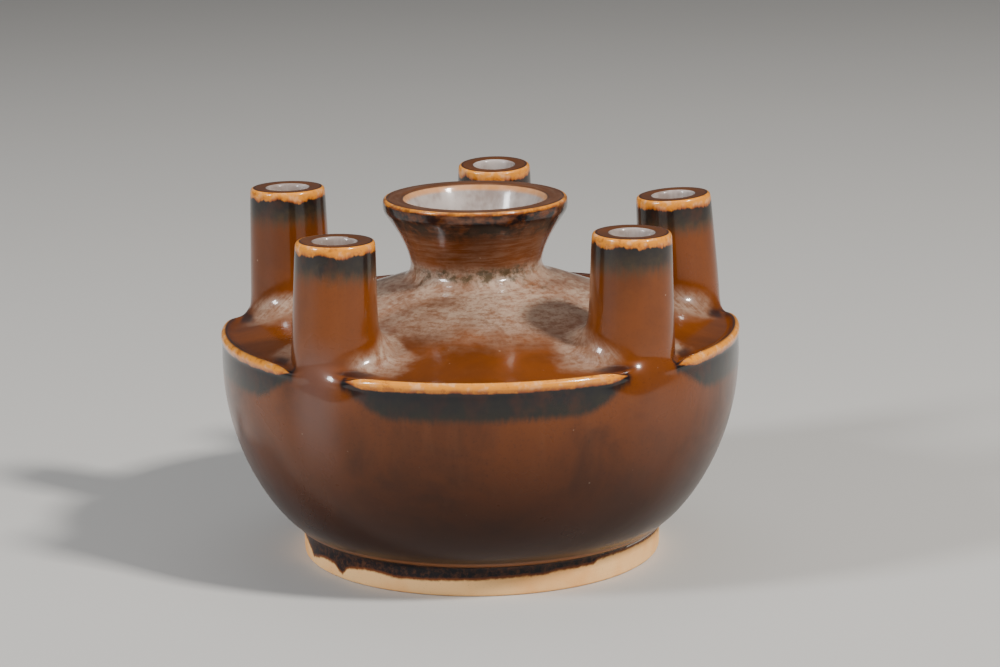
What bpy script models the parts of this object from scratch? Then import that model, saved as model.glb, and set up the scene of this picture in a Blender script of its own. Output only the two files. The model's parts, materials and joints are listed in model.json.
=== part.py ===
"""Five-spout vessel: a small glazed stoneware pot with a trumpet neck and five tubular spouts.

The pot is one fired piece, open at the neck and through every spout. The turned form is a stack of
rings of points from the middle of the underside, up the outside, over the lip and down the inside to
the middle of the floor. Each spout takes a patch of that skin, outside and inside, and joins the two
with its own loops, so the walls are closed and have their true thickness.

Lengths are metres, +Z is up and the front faces -Y. An azimuth is counted from the front, positive
to the right, in degrees.
"""

from math import asin, atan2, cos, degrees, hypot, pi, radians, sin
from typing import NamedTuple

import bmesh
import bpy
from mathutils import Vector

MM = 0.001

# Foot, cut in beneath
FOOT_RADIUS = 41.5 * MM
FOOT_HEIGHT = 6.8 * MM
FOOT_RING_WIDTH = 7.0 * MM
FOOT_EDGE = 0.35 * MM
FOOT_SHIFT = -0.4 * MM
RECESS_DEPTH = 3.5 * MM
SHELF_WIDTH = 2.4 * MM
SHELF_RISE = 1.5 * MM

# Belly, up to the ridge
BELLY_RADIUS = 59.6 * MM
BELLY_HEIGHT = 46.0 * MM
BELLY_FULLNESS = 0.82

# Ridge round the widest part, a little proud of the belly, with a channel just inside it
RIDGE_STAND = 0.2 * MM
RIDGE_RADIUS = BELLY_RADIUS + RIDGE_STAND
RIDGE_HEIGHT = 51.8 * MM
RIDGE_ROUNDING = 1.2 * MM
RIDGE_FALL = 1.7 * MM
RIDGE_TUCK = 0.3 * MM
CHANNEL_WIDTH = 3.4 * MM
CHANNEL_DEPTH = 1.3 * MM
CHANNEL_BOTTOM_SHARE = 0.8
CHANNEL_END_SHARE = 1.25

# Shoulder and neck
NECK_FOOT_RADIUS = 19.5 * MM
NECK_FOOT_HEIGHT = 63.4 * MM
NECK_FOOT_SHIFT = 0.8 * MM
SHOULDER_SAG = 0.6 * MM
WAIST_RADIUS = 14.85 * MM
WAIST_HEIGHT = 67.3 * MM
LIP_RADIUS = 21.1 * MM
LIP_BAND = 3.6 * MM
LIP_ROUNDING = 0.9 * MM
LIP_UNDERCUT = 0.5 * MM
LIP_FLAT = 3.5 * MM
RIM_HEIGHT = 82.4 * MM
NECK_FLARE_POWER = 1.5
NECK_SHIFT = -0.7 * MM

# Walls and floor
WALL = 4.3 * MM
NECK_WALL = 3.5 * MM
FLOOR_THICKNESS = 4.8 * MM
INNER_CORNER = 7.0 * MM
INNER_CORNER_RUN = 1.8 * MM
FOOT_WALL_GROWTH = 0.35
FLOOR_CORNER = 1.3 * MM
FLOOR_FLAT_SHARE = 0.6

# Spouts, all thrown to one size and set by hand
SPOUT_FOOT_RADIUS = 9.6 * MM
SPOUT_MOUTH_RADIUS = 8.75 * MM
SPOUT_ROUNDING = 1.1 * MM
SPOUT_COLLAR = 3.3 * MM
BORE_RADIUS = 4.4 * MM
BORE_ROUNDING = 0.6 * MM
FLARE_REACH = 4.6 * MM
FLARE_RISE = 6.0 * MM
FLARE_MARGIN = 1.6 * MM
OUTER_FLARE_REACH = 1.2 * MM
OUTER_FLARE_RISE = 4.5 * MM
OUTER_FLARE_LIFT = 3.8 * MM
OUTER_FACING = 0.8
FLANK_FALL = 2.6 * MM
FLANK_BULGE = 0.25 * MM
FLANK_MARGIN = 0.5 * MM

# Half angle of the flank that a spout draws down over the ridge, in degrees
FLANK_TURN = 32.0

# Where a spout breaks the ridge: half the gap, and the length over which each ridge end dies away
RIDGE_GAP = 6.0 * MM
RIDGE_TAPER = 5.9 * MM

# Fineness of the faceting
FREE_COLUMN_STEP = 7.0
FLARE_STEPS = 3
WALL_ROWS = 6
WALL_ROW_POWER = 1.4
PATCH_FACES = 4
PATCH_END_SHARE = 0.4

# Where the rings of the profiles lie: angles in degrees, or shares of each stretch
RIDGE_TURNS = (-60, 0, 60, 110)
NECK_APPROACH_SHARES = (0.35, 0.7)
NECK_FOOT_TURNS = (0, 30, 60)
NECK_SHARES = (0.3, 0.55, 0.8, 1.0)
THROAT_SHARES = (0.75, 0.4, 0.0)
INNER_WALL_SHARES = (0.0, 0.25, 0.5, 0.72, 0.9)
SHELF_BEND = (0.7, 0.4)


class Spout(NamedTuple):
    """One spout: its azimuth, and how it stands to the ridge and to the neck's rim.

    The foot and the mouth are set in from the ridge, and the mouth is set down from the rim. The
    lean is how far the mouth is swung round the pot from the foot, in degrees. The spout
    interrupts the ridge round the break azimuth.
    """

    azimuth: float
    foot_in: float
    mouth_in: float
    lean: float
    below_rim: float
    break_azimuth: float

    @property
    def foot_out(self):
        """Distance of the foot's centre from the pot's axis."""
        return RIDGE_RADIUS - self.foot_in

    @property
    def mouth_out(self):
        """Distance of the mouth's centre from the pot's axis."""
        return RIDGE_RADIUS - self.mouth_in

    @property
    def top(self):
        """Height of the mouth."""
        return RIM_HEIGHT - self.below_rim


SPOUTS = (
    Spout(-40.6, foot_in=10.9 * MM, mouth_in=11.3 * MM, lean=0.7, below_rim=2.4 * MM, break_azimuth=-37.4),
    Spout(42.6, foot_in=11.2 * MM, mouth_in=10.8 * MM, lean=0.0, below_rim=1.8 * MM, break_azimuth=39.6),
    Spout(109.2, foot_in=9.8 * MM, mouth_in=11.5 * MM, lean=0.1, below_rim=3.1 * MM, break_azimuth=107.5),
    Spout(175.1, foot_in=10.6 * MM, mouth_in=12.6 * MM, lean=0.0, below_rim=0.7 * MM, break_azimuth=175.1),
    Spout(249.2, foot_in=12.4 * MM, mouth_in=12.2 * MM, lean=0.0, below_rim=0.1 * MM, break_azimuth=250.0),
)

# Half widths in degrees of a spout's patch, in the neck and on the ceiling inside
NECK_HALF_ANGLE = 16.5
CEILING_HALF_ANGLE = 12.0


def blend(start, end, share):
    """Straight mix of two values or two points."""
    return start + (end - start) * share


def smoothstep(low, high, value):
    """Ease from 0 at low to 1 at high."""
    share = min(max((value - low) / (high - low), 0.0), 1.0)
    return share * share * (3.0 - 2.0 * share)


def plan(distance, azimuth):
    """The point on the table at a distance from the axis, in the direction of an azimuth."""
    return Vector((distance * sin(azimuth), -distance * cos(azimuth), 0.0))


def wall_radius(height):
    """Outer radius of the belly between the shelf over the foot and its widest height."""
    low = FOOT_HEIGHT + SHELF_RISE
    start = FOOT_RADIUS + SHELF_WIDTH
    share = min(max((height - low) / (BELLY_HEIGHT - low), 0.0), 1.0)
    return blend(start, BELLY_RADIUS, (1.0 - (1.0 - share) ** 2) ** BELLY_FULLNESS)


def shoulder_height(radius):
    """Height of the sloping shoulder between the channel and the foot of the neck."""
    low = RIDGE_HEIGHT + RIDGE_ROUNDING - CHANNEL_DEPTH
    outer = RIDGE_RADIUS - CHANNEL_WIDTH
    share = (outer - radius) / (outer - NECK_FOOT_RADIUS)
    sag = SHOULDER_SAG * sin(pi * min(max(share, 0.0), 1.0))
    return blend(low, NECK_FOOT_HEIGHT, share) - sag


def neck_radius(height):
    """Outer radius of the neck between its waist and the underside of the lip."""
    share = (height - WAIST_HEIGHT) / (RIM_HEIGHT - LIP_BAND - WAIST_HEIGHT)
    return blend(WAIST_RADIUS, LIP_RADIUS - LIP_UNDERCUT, share ** NECK_FLARE_POWER)


class SpoutFrame:
    """Where one spout stands, and the surfaces that lead up to it."""

    def __init__(self, spout):
        foot_azimuth = radians(spout.azimuth)
        mouth_azimuth = radians(spout.azimuth + spout.lean)
        self.foot = plan(spout.foot_out, foot_azimuth)
        ridge = plan(RIDGE_RADIUS, radians(spout.break_azimuth))
        self.outward = (ridge - self.foot).normalized()
        self.sideways = Vector((0, 0, 1)).cross(self.outward)
        self.foot.z = shoulder_height(spout.foot_out)
        self.mouth = plan(spout.mouth_out, mouth_azimuth) + Vector((0, 0, spout.top))
        self.axis = (self.mouth - self.foot).normalized()
        self.across = self.sideways.cross(self.axis)

    def centre(self, height):
        """Point of the spout's axis at a height."""
        return blend(self.foot, self.mouth, (height - self.foot.z) / (self.mouth.z - self.foot.z))

    def tube_radius(self, height):
        """Outer radius of the tapering tube at a height."""
        share = (height - self.foot.z) / (self.mouth.z - self.foot.z)
        return blend(SPOUT_FOOT_RADIUS, SPOUT_MOUTH_RADIUS, share)

    def turn_to(self, point, turn):
        """The smallest angle round the spout from a turn to the direction of a point."""
        away = point - self.foot
        towards = atan2(away.dot(self.sideways), away.dot(self.outward))
        return (towards - turn + pi) % (2.0 * pi) - pi

    def flare_point(self, turn, share, room=1.0):
        """Point of the concave flare, from the shoulder at share 0 to the tube at share 1.

        The room, a distance from the foot's centre, limits how far the flare may spread.
        """
        facing = cos(turn)
        outer = smoothstep(0.0, OUTER_FACING, facing)
        reach = min(blend(FLARE_REACH, OUTER_FLARE_REACH, outer), room - SPOUT_FOOT_RADIUS)
        rise = blend(FLARE_RISE, OUTER_FLARE_RISE, outer)
        lift = OUTER_FLARE_LIFT * max(0.0, 2.0 * facing - 1.0) ** 2
        out = reach * (1.0 - sin(share * pi / 2))
        direction = self.outward * facing + self.sideways * sin(turn)
        foot = self.foot + direction * (SPOUT_FOOT_RADIUS + out)
        height = shoulder_height(hypot(foot.x, foot.y)) + lift + rise * (1.0 - cos(share * pi / 2))
        point = self.centre(height) + direction * (self.tube_radius(height) + out)
        inside_ridge = min(1.0, (RIDGE_RADIUS - FLANK_MARGIN) / hypot(point.x, point.y))
        return Vector((point.x * inside_ridge, point.y * inside_ridge, height))

    def flank_point(self, azimuth, turn, share):
        """Point of the spout's outer side, from the belly over the ridge to the edge of its flare."""
        top = self.flare_point(turn, 0.0)
        low = RIDGE_HEIGHT - FLANK_FALL
        radius = blend(BELLY_RADIUS, hypot(top.x, top.y), share ** 2) + FLANK_BULGE * sin(pi * share)
        lean = (atan2(top.x, -top.y) - azimuth + pi) % (2.0 * pi) - pi
        return plan(radius, azimuth + lean * share) + Vector((0, 0, blend(low, top.z, share)))

    def level_point(self, turn, radius, drop):
        """Point of a loop square to the spout's axis, at a drop below the mouth."""
        direction = self.across * cos(turn) + self.sideways * sin(turn)
        return self.mouth - self.axis * drop + direction * radius


def column_azimuths(centres, near, far):
    """Azimuths of the columns: five on each spout's patch, then even steps to the next patch."""
    columns = []
    for index, centre in enumerate(centres):
        columns += [centre - far, centre - near, centre, centre + near, centre + far]
        following = centres[(index + 1) % len(centres)] + (360.0 if index + 1 == len(centres) else 0.0)
        steps = free_steps(index)
        start, end = centre + far, following - far
        columns += [blend(start, end, step / steps) for step in range(1, steps)]
    return [radians(azimuth) for azimuth in columns]


def free_steps(index):
    """How many columns share the skin between one spout's patch and the next one's."""
    following = SPOUTS[(index + 1) % len(SPOUTS)].azimuth + (360.0 if index + 1 == len(SPOUTS) else 0.0)
    width = following - SPOUTS[index].azimuth - 2.0 * NECK_HALF_ANGLE
    return max(2, round(width / FREE_COLUMN_STEP))


def patch_columns():
    """The five column numbers of each spout's patch."""
    patches = []
    first = 0
    for index in range(len(SPOUTS)):
        patches.append(list(range(first, first + PATCH_FACES + 1)))
        first += PATCH_FACES + free_steps(index)
    return patches


def standing_azimuths(half_angle):
    """Column azimuths where the patches are centred on the spouts themselves."""
    return column_azimuths([s.azimuth for s in SPOUTS], half_angle / 2, half_angle)


NECK_AZIMUTHS = standing_azimuths(NECK_HALF_ANGLE)
CEILING_AZIMUTHS = standing_azimuths(CEILING_HALF_ANGLE)
GAP_ANGLE = degrees(RIDGE_GAP / RIDGE_RADIUS)
TAPER_ANGLE = degrees(RIDGE_TAPER / RIDGE_RADIUS)
WALL_AZIMUTHS = column_azimuths([s.break_azimuth for s in SPOUTS], GAP_ANGLE, GAP_ANGLE + TAPER_ANGLE)
PATCHES = patch_columns()
FRAMES = [SpoutFrame(spout) for spout in SPOUTS]
BREAK_COLUMNS = {}
for break_frame, break_patch in zip(FRAMES, PATCHES):
    for break_column, break_turn in zip(break_patch[1:-1], (-FLANK_TURN, 0.0, FLANK_TURN)):
        BREAK_COLUMNS[break_column] = (break_frame, radians(break_turn))


def ring(mesh, radius, height, azimuths, shift=0.0, flank_share=None):
    """A ring of points; with a flank share it leaves its circle where a spout breaks the ridge."""
    points = []
    for column, azimuth in enumerate(azimuths):
        point = plan(radius, azimuth) + Vector((shift, 0.0, height))
        if flank_share is not None and column in BREAK_COLUMNS:
            frame, turn = BREAK_COLUMNS[column]
            point = frame.flank_point(azimuth, turn, flank_share)
        points.append(mesh.verts.new(point))
    return points


def foot_rings(mesh):
    """Underside and wall of the foot, from the recess out to the shelf under the belly."""
    inner = FOOT_RADIUS - FOOT_RING_WIDTH
    profile = (
        (inner - FOOT_EDGE, RECESS_DEPTH),
        (inner, FOOT_EDGE),
        (inner + FOOT_EDGE, 0.0),
        (FOOT_RADIUS - FOOT_EDGE, 0.0),
        (FOOT_RADIUS, FOOT_EDGE),
        (FOOT_RADIUS, FOOT_HEIGHT),
        (FOOT_RADIUS + SHELF_BEND[0] * SHELF_WIDTH, FOOT_HEIGHT + SHELF_BEND[1] * SHELF_RISE),
        (FOOT_RADIUS + SHELF_WIDTH, FOOT_HEIGHT + SHELF_RISE),
    )
    return [ring(mesh, radius, height, WALL_AZIMUTHS, FOOT_SHIFT) for radius, height in profile]


def wall_rings(mesh):
    """Belly from just above the shelf to just below the ridge, closer together where it curves more."""
    low = FOOT_HEIGHT + SHELF_RISE
    rings = []
    for row in range(1, WALL_ROWS + 1):
        share = row / WALL_ROWS
        height = blend(low, BELLY_HEIGHT, share ** WALL_ROW_POWER)
        rings.append(ring(mesh, wall_radius(height), height, WALL_AZIMUTHS, FOOT_SHIFT * (1.0 - share)))
    return rings


def ridge_rings(mesh):
    """The rounded ridge and the channel inside it; between a spout and the belly they lie flat."""
    centre = RIDGE_RADIUS - RIDGE_ROUNDING
    profile = [(BELLY_RADIUS - RIDGE_TUCK, RIDGE_HEIGHT - RIDGE_FALL)]
    for turn in RIDGE_TURNS:
        out = centre + RIDGE_ROUNDING * cos(radians(turn))
        profile.append((out, RIDGE_HEIGHT + RIDGE_ROUNDING * sin(radians(turn))))
    bottom = RIDGE_RADIUS - CHANNEL_BOTTOM_SHARE * CHANNEL_WIDTH
    profile.append((bottom, RIDGE_HEIGHT + RIDGE_ROUNDING - CHANNEL_DEPTH))
    inside = RIDGE_RADIUS - CHANNEL_END_SHARE * CHANNEL_WIDTH
    profile.append((inside, shoulder_height(inside)))
    rings = []
    for row, (radius, height) in enumerate(profile, start=1):
        share = row / (len(profile) + 1)
        rings.append(ring(mesh, radius, height, WALL_AZIMUTHS, flank_share=share))
    return rings


def patch_radii(outer, inner):
    """Radii of the rings that cross the spouts' patches."""
    return [blend(outer, inner, row / PATCH_FACES) for row in range(PATCH_FACES + 1)]


def patch_half_angle(radius):
    """Half width of a spout's round patch where it is crossed by a ring of this radius."""
    middle = sum(s.foot_out for s in SPOUTS) / len(SPOUTS)
    reach = SPOUT_FOOT_RADIUS + FLARE_REACH + FLARE_MARGIN
    sideways = max(reach ** 2 - (radius - middle) ** 2, (PATCH_END_SHARE * reach) ** 2) ** 0.5
    return degrees(asin(min(sideways / radius, 0.5)))


def shoulder_rings(mesh, outer):
    """Shoulder from the ring beside the channel to the inner edge of the spouts' patches."""
    inner = min(s.foot_out for s in SPOUTS) - SPOUT_FOOT_RADIUS - FLARE_REACH - FLARE_MARGIN
    rings = [outer]
    for radius in patch_radii(RIDGE_RADIUS - CHANNEL_END_SHARE * CHANNEL_WIDTH, inner)[1:]:
        azimuths = standing_azimuths(patch_half_angle(radius))
        rings.append(ring(mesh, radius, shoulder_height(radius), azimuths))
    return rings


def neck_rings(mesh, last_radius):
    """Shoulder inside the patches, then the neck up to its lip and down its throat."""
    rings = []
    for share in NECK_APPROACH_SHARES:
        radius = blend(last_radius, NECK_FOOT_RADIUS, share)
        shift = NECK_FOOT_SHIFT * share
        rings.append(ring(mesh, radius, shoulder_height(radius), NECK_AZIMUTHS, shift))
    reach = NECK_FOOT_RADIUS - WAIST_RADIUS
    rise = WAIST_HEIGHT - NECK_FOOT_HEIGHT
    for turn in NECK_FOOT_TURNS:
        share = 1.0 - sin(radians(turn))
        height = NECK_FOOT_HEIGHT + rise * (1.0 - cos(radians(turn)))
        shift = blend(NECK_SHIFT, NECK_FOOT_SHIFT, share)
        rings.append(ring(mesh, WAIST_RADIUS + reach * share, height, NECK_AZIMUTHS, shift))
    profile = [(WAIST_RADIUS, WAIST_HEIGHT)]
    under_lip = RIM_HEIGHT - LIP_BAND
    for share in NECK_SHARES:
        height = blend(WAIST_HEIGHT, under_lip, share)
        profile.append((neck_radius(height), height))
    inner_lip = LIP_RADIUS - LIP_ROUNDING - LIP_FLAT
    throat = WAIST_RADIUS - NECK_WALL
    profile += [
        (LIP_RADIUS, under_lip + LIP_ROUNDING),
        (LIP_RADIUS, RIM_HEIGHT - LIP_ROUNDING),
        (LIP_RADIUS - 0.3 * LIP_ROUNDING, RIM_HEIGHT - 0.3 * LIP_ROUNDING),
        (LIP_RADIUS - LIP_ROUNDING, RIM_HEIGHT),
        (inner_lip, RIM_HEIGHT),
        (inner_lip - 0.5 * LIP_ROUNDING, RIM_HEIGHT - 0.5 * LIP_ROUNDING),
    ]
    for share in THROAT_SHARES:
        out = blend(throat, inner_lip - LIP_ROUNDING, share ** NECK_FLARE_POWER)
        profile.append((out, blend(WAIST_HEIGHT, RIM_HEIGHT - LIP_ROUNDING, share)))
    ceiling = NECK_FOOT_HEIGHT - WALL
    for turn in reversed(NECK_FOOT_TURNS):
        out = throat + reach * (1.0 - sin(radians(turn)))
        profile.append((out, blend(ceiling, WAIST_HEIGHT, 1.0 - cos(radians(turn)))))
    return rings + [ring(mesh, radius, height, NECK_AZIMUTHS, NECK_SHIFT) for radius, height in profile]


def ceiling_rings(mesh):
    """Underside of the shoulder, ending where it turns down into the inner wall."""
    outer = BELLY_RADIUS - WALL - INNER_CORNER_RUN
    inner = min(s.foot_out for s in SPOUTS) - SPOUT_FOOT_RADIUS
    radii = patch_radii(inner, outer)
    return [ring(mesh, radius, shoulder_height(radius) - WALL, CEILING_AZIMUTHS) for radius in radii]


def inner_wall_rings(mesh):
    """Inner wall from the corner under the ridge down to the floor."""
    rings = []
    corner = shoulder_height(BELLY_RADIUS - WALL) - WALL - INNER_CORNER
    floor = RECESS_DEPTH + FLOOR_THICKNESS
    for share in INNER_WALL_SHARES:
        height = blend(corner, floor + WALL, share)
        radius = wall_radius(height) - WALL * (1.0 + FOOT_WALL_GROWTH * share)
        rings.append(ring(mesh, radius, height, CEILING_AZIMUTHS))
    inside = FOOT_RADIUS - WALL
    rings.append(ring(mesh, inside, floor + FLOOR_CORNER, CEILING_AZIMUTHS))
    rings.append(ring(mesh, FLOOR_FLAT_SHARE * inside, floor, CEILING_AZIMUTHS))
    return rings


def bridge(mesh, lower, upper, skip=()):
    """Quads between two rings of equal count, leaving out the columns in skip."""
    count = len(lower)
    for column in range(count):
        if column in skip:
            continue
        following = (column + 1) % count
        mesh.faces.new((lower[column], lower[following], upper[following], upper[column]))


def close_centre(mesh, rim, height):
    """A fan of triangles from a ring to a point on the axis."""
    centre = mesh.verts.new((0.0, 0.0, height))
    count = len(rim)
    for column in range(count):
        mesh.faces.new((centre, rim[(column + 1) % count], rim[column]))


def patch_border(rows, columns):
    """The sixteen border points of a patch in order round the spout, from its outermost point."""
    middle = PATCH_FACES // 2
    border = [rows[0][columns[c]] for c in range(middle, PATCH_FACES + 1)]
    border += [rows[r][columns[-1]] for r in range(1, PATCH_FACES + 1)]
    border += [rows[-1][columns[c]] for c in range(PATCH_FACES - 1, -1, -1)]
    border += [rows[r][columns[0]] for r in range(PATCH_FACES - 1, -1, -1)]
    border += [rows[0][columns[c]] for c in range(1, middle)]
    return border


def add_spout(mesh, frame, outer_border, inner_border):
    """Flare, tube, mouth and bore of one spout, between its patches in the two skins."""
    count = len(outer_border)
    turns = [2.0 * pi * index / count for index in range(count)]
    loops = [outer_border]
    for step in range(FLARE_STEPS + 1):
        share = step / FLARE_STEPS
        points = []
        for turn, border in zip(turns, outer_border):
            twist = frame.turn_to(border.co, turn) * (1.0 - share)
            room = hypot(border.co.x - frame.foot.x, border.co.y - frame.foot.y)
            if cos(turn) < cos(radians(FLANK_TURN)):
                room -= 0.5 * FLARE_MARGIN
            points.append(frame.flare_point(turn + twist, share, room))
        loops.append([mesh.verts.new(point) for point in points])
    collar = SPOUT_COLLAR
    collar_radius = frame.tube_radius(frame.mouth.z - collar)
    halfway = []
    for turn in turns:
        low = frame.flare_point(turn, 1.0)
        high = frame.level_point(turn, collar_radius, collar)
        halfway.append(mesh.verts.new(blend(low, high, 0.5)))
    loops.append(halfway)
    ceiling = frame.mouth.z - frame.foot.z + WALL
    mouth_profile = (
        (collar_radius, collar),
        (SPOUT_MOUTH_RADIUS, SPOUT_ROUNDING),
        (SPOUT_MOUTH_RADIUS - 0.3 * SPOUT_ROUNDING, 0.3 * SPOUT_ROUNDING),
        (SPOUT_MOUTH_RADIUS - SPOUT_ROUNDING, 0.0),
        (BORE_RADIUS + BORE_ROUNDING, 0.0),
        (BORE_RADIUS, BORE_ROUNDING),
        (BORE_RADIUS, 0.5 * ceiling),
        (BORE_RADIUS, ceiling - 2.0 * BORE_ROUNDING),
    )
    for radius, drop in mouth_profile:
        loops.append([mesh.verts.new(frame.level_point(turn, radius, drop)) for turn in turns])
    flared = []
    for turn in turns:
        point = frame.level_point(turn, BORE_RADIUS + 2.0 * BORE_ROUNDING, ceiling)
        point.z = shoulder_height(hypot(point.x, point.y)) - WALL
        flared.append(mesh.verts.new(point))
    loops += [flared, inner_border]
    for lower, upper in zip(loops, loops[1:]):
        bridge(mesh, lower, upper)


def build_vessel():
    """The whole pot as one closed mesh."""
    mesh = bmesh.new()
    below = foot_rings(mesh) + wall_rings(mesh) + ridge_rings(mesh)
    shoulder = shoulder_rings(mesh, below.pop())
    neck = neck_rings(mesh, hypot(*shoulder[-1][0].co[:2]))
    ceiling = ceiling_rings(mesh)
    inside = inner_wall_rings(mesh)
    skin = below + shoulder + neck + ceiling + inside
    patched = {column for patch in PATCHES for column in patch[:-1]}
    crossed = list(zip(shoulder, shoulder[1:])) + list(zip(ceiling, ceiling[1:]))
    crossed_ids = {(id(lower), id(upper)) for lower, upper in crossed}
    for lower, upper in zip(skin, skin[1:]):
        bridge(mesh, lower, upper, patched if (id(lower), id(upper)) in crossed_ids else ())
    close_centre(mesh, skin[0], RECESS_DEPTH)
    close_centre(mesh, skin[-1], RECESS_DEPTH + FLOOR_THICKNESS)
    for frame, columns in zip(FRAMES, PATCHES):
        outer_border = patch_border(shoulder, columns)
        inner_border = patch_border(ceiling[::-1], columns)
        add_spout(mesh, frame, outer_border, inner_border)
    loose = [vertex for vertex in mesh.verts if not vertex.link_faces]
    bmesh.ops.delete(mesh, geom=loose, context="VERTS")
    bmesh.ops.recalc_face_normals(mesh, faces=mesh.faces)
    return mesh


def glaze_material():
    """Glossy russet-brown glaze."""
    material = bpy.data.materials.new("brown_glaze")
    material.use_nodes = True
    shader = material.node_tree.nodes["Principled BSDF"]
    shader.inputs["Base Color"].default_value = (0.24, 0.10, 0.035, 1.0)
    shader.inputs["Roughness"].default_value = 0.22
    shader.inputs["Metallic"].default_value = 0.0
    return material


def main():
    """Clear the scene and add the vessel."""
    for old in list(bpy.data.objects):
        bpy.data.objects.remove(old, do_unlink=True)
    mesh = bpy.data.meshes.new("vessel")
    bm = build_vessel()
    bm.to_mesh(mesh)
    bm.free()
    mesh.materials.append(glaze_material())
    mesh.shade_smooth()
    mesh.set_sharp_from_angle(angle=radians(35.0))
    vessel = bpy.data.objects.new("vessel", mesh)
    bpy.context.scene.collection.objects.link(vessel)


main()
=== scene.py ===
"""Five-spout vessel, dressed: a small brown-glazed stoneware pot with a trumpet neck and five tubes.

The pot is thrown as a lathe turning, in columns that are set closer round each spout. A patch of the
outer and inner skin is opened at each spout, a flare, tube, mouth and bore are drawn through it, and
the whole cage is smoothed. Masks kept on its points tell the glaze where the ridge, the mouths and
the milky glaze with its painted sheen lie. Lengths are metres, +Z is up, the front faces -Y, and an
azimuth is counted from the front, positive to the right.
"""

import json
from functools import reduce
from math import asin, atan2, cos, degrees, hypot, pi, radians, sin

import bmesh
import bpy
import numpy as np
from mathutils import Matrix, Vector

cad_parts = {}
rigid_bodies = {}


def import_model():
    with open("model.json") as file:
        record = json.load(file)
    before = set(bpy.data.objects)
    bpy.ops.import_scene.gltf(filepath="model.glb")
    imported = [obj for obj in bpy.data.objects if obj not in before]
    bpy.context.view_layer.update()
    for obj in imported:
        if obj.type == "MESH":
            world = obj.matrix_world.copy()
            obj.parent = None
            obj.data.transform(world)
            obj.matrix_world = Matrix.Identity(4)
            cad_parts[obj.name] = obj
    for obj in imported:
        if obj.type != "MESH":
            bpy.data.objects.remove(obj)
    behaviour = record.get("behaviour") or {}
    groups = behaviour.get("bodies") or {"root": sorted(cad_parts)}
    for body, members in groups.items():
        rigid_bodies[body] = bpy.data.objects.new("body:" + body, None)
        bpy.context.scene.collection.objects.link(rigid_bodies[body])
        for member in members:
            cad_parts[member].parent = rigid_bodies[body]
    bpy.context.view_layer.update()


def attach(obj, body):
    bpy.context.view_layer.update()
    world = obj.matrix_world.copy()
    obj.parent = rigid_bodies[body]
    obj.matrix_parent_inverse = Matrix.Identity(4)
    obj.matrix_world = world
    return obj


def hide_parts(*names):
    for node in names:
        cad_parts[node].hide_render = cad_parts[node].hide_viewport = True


bl_info = {
    "name": "Five-spout vessel",
    "version": (1, 0, 0),
    "blender": (4, 5, 0),
    "location": "3D View > Sidebar > Vessel",
    "description": "Makes a glazed five-spout stoneware vessel and the studio it stands in",
    "category": "Add Mesh",
}

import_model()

MM = 0.001

# A spout's patch: how many faces lie along each of its sides, and how many points go round it
PATCH_FACES = 4
LOOP_POINTS = 4 * PATCH_FACES

# A mask's value where no edge is near, in millimetres; how close points merge; the least move made
FAR = 50.0
MERGE = 0.01 * MM
LEAST_STEP = 0.0001 * MM

# In degrees: the step from column to column, half the width of a spout's patch on the neck and on the
# ceiling, and how far to each side of a spout its flank over the ridge reaches
COLUMN_STEP = 7.0
NECK_PATCH = 16.5
CEILING_PATCH = 12.0
FLANK_TURN = 32.0

# Shapes of the profiles: powers of their curves, and shares or turns where their points lie
PATCH_END_SHARE = 0.4
BELLY_FULLNESS = 0.82
WALL_ROWS = 10
WALL_ROW_POWER = 1.4
RIDGE_TURNS = (-60, 0, 60, 110)
NOSE_SWELL = 1.12
CHANNEL_BOTTOM_SHARE = 0.8
CHANNEL_END_SHARE = 1.25
NECK_FLARE_POWER = 1.5
NECK_FOOT_TURNS = (0, 30, 60)
FOOT_WALL_GROWTH = 0.35
OUTER_FACING = 0.2
FLARE_STEPS = 3
PROFILE_SAMPLES = 120

# Plain values of the shaders, and small colours in the patterns, in linear light
FIRED = {"IOR": 1.5, "Specular_IOR_Level": 0.18, "Coat_Roughness": 0.1, "Coat_IOR": 1.42}
CLAY_ROUGHNESS = 0.85
DARK_GRIT = (0.30, 0.18, 0.10)
PINK_TAN = (0.93, 0.58, 0.36)
PALE_DUST = (0.60, 0.46, 0.34)

# The studio: each light's name, place, width and height in metres, and tone; then the rest of it
LIGHTS = (
    ("key", (0.77, -0.56, 1.03), (0.15, 0.18), (1.0, 0.97, 0.93)),
    ("fill", (-0.95, -0.45, 0.7), (0.2, 0.3), (0.95, 0.97, 1.0)),
    ("top", (0.0, 0.25, 1.0), (0.6, 0.6), (1.0, 1.0, 1.0)),
)
LIGHT_AIM = (0.0, 0.0, 50.0 * MM)
ROOM_TONE = (0.95, 0.96, 1.0, 1.0)
FLOOR_STEP = 20.0 * MM

# Lower edge of the glaze on the foot's side: azimuth in degrees and height in millimetres.
GLAZE_EDGE = (
    (-180.0, 4.6), (-165.0, 3.7), (-150.0, 4.4), (-135.0, 5.0), (-118.0, 3.9), (-100.0, 4.7),
    (-84.0, 5.0), (-76.0, 4.6), (-71.5, 3.4), (-68.5, 1.9), (-66.0, 2.4), (-60.0, 3.4), (-53.5, 3.1),
    (-51.7, 2.0), (-49.9, 0.9), (-48.3, 2.3), (-46.9, 3.2), (-39.0, 4.0), (-33.0, 3.9), (-28.7, 3.4),
    (-17.0, 3.6), (-2.5, 4.0), (12.0, 4.4), (19.0, 4.25), (23.0, 4.8), (33.0, 4.75), (37.2, 4.7),
    (38.3, 5.6), (46.0, 5.75), (58.0, 5.7), (78.0, 5.4), (95.0, 5.2), (115.0, 4.4), (135.0, 4.9),
    (150.0, 4.2), (165.0, 5.1), (180.0, 4.6),
)


def number(name, description, value, unit="NONE"):
    """A plain number setting."""
    return bpy.props.FloatProperty(name=name, description=description, default=value, unit=unit)


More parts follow.
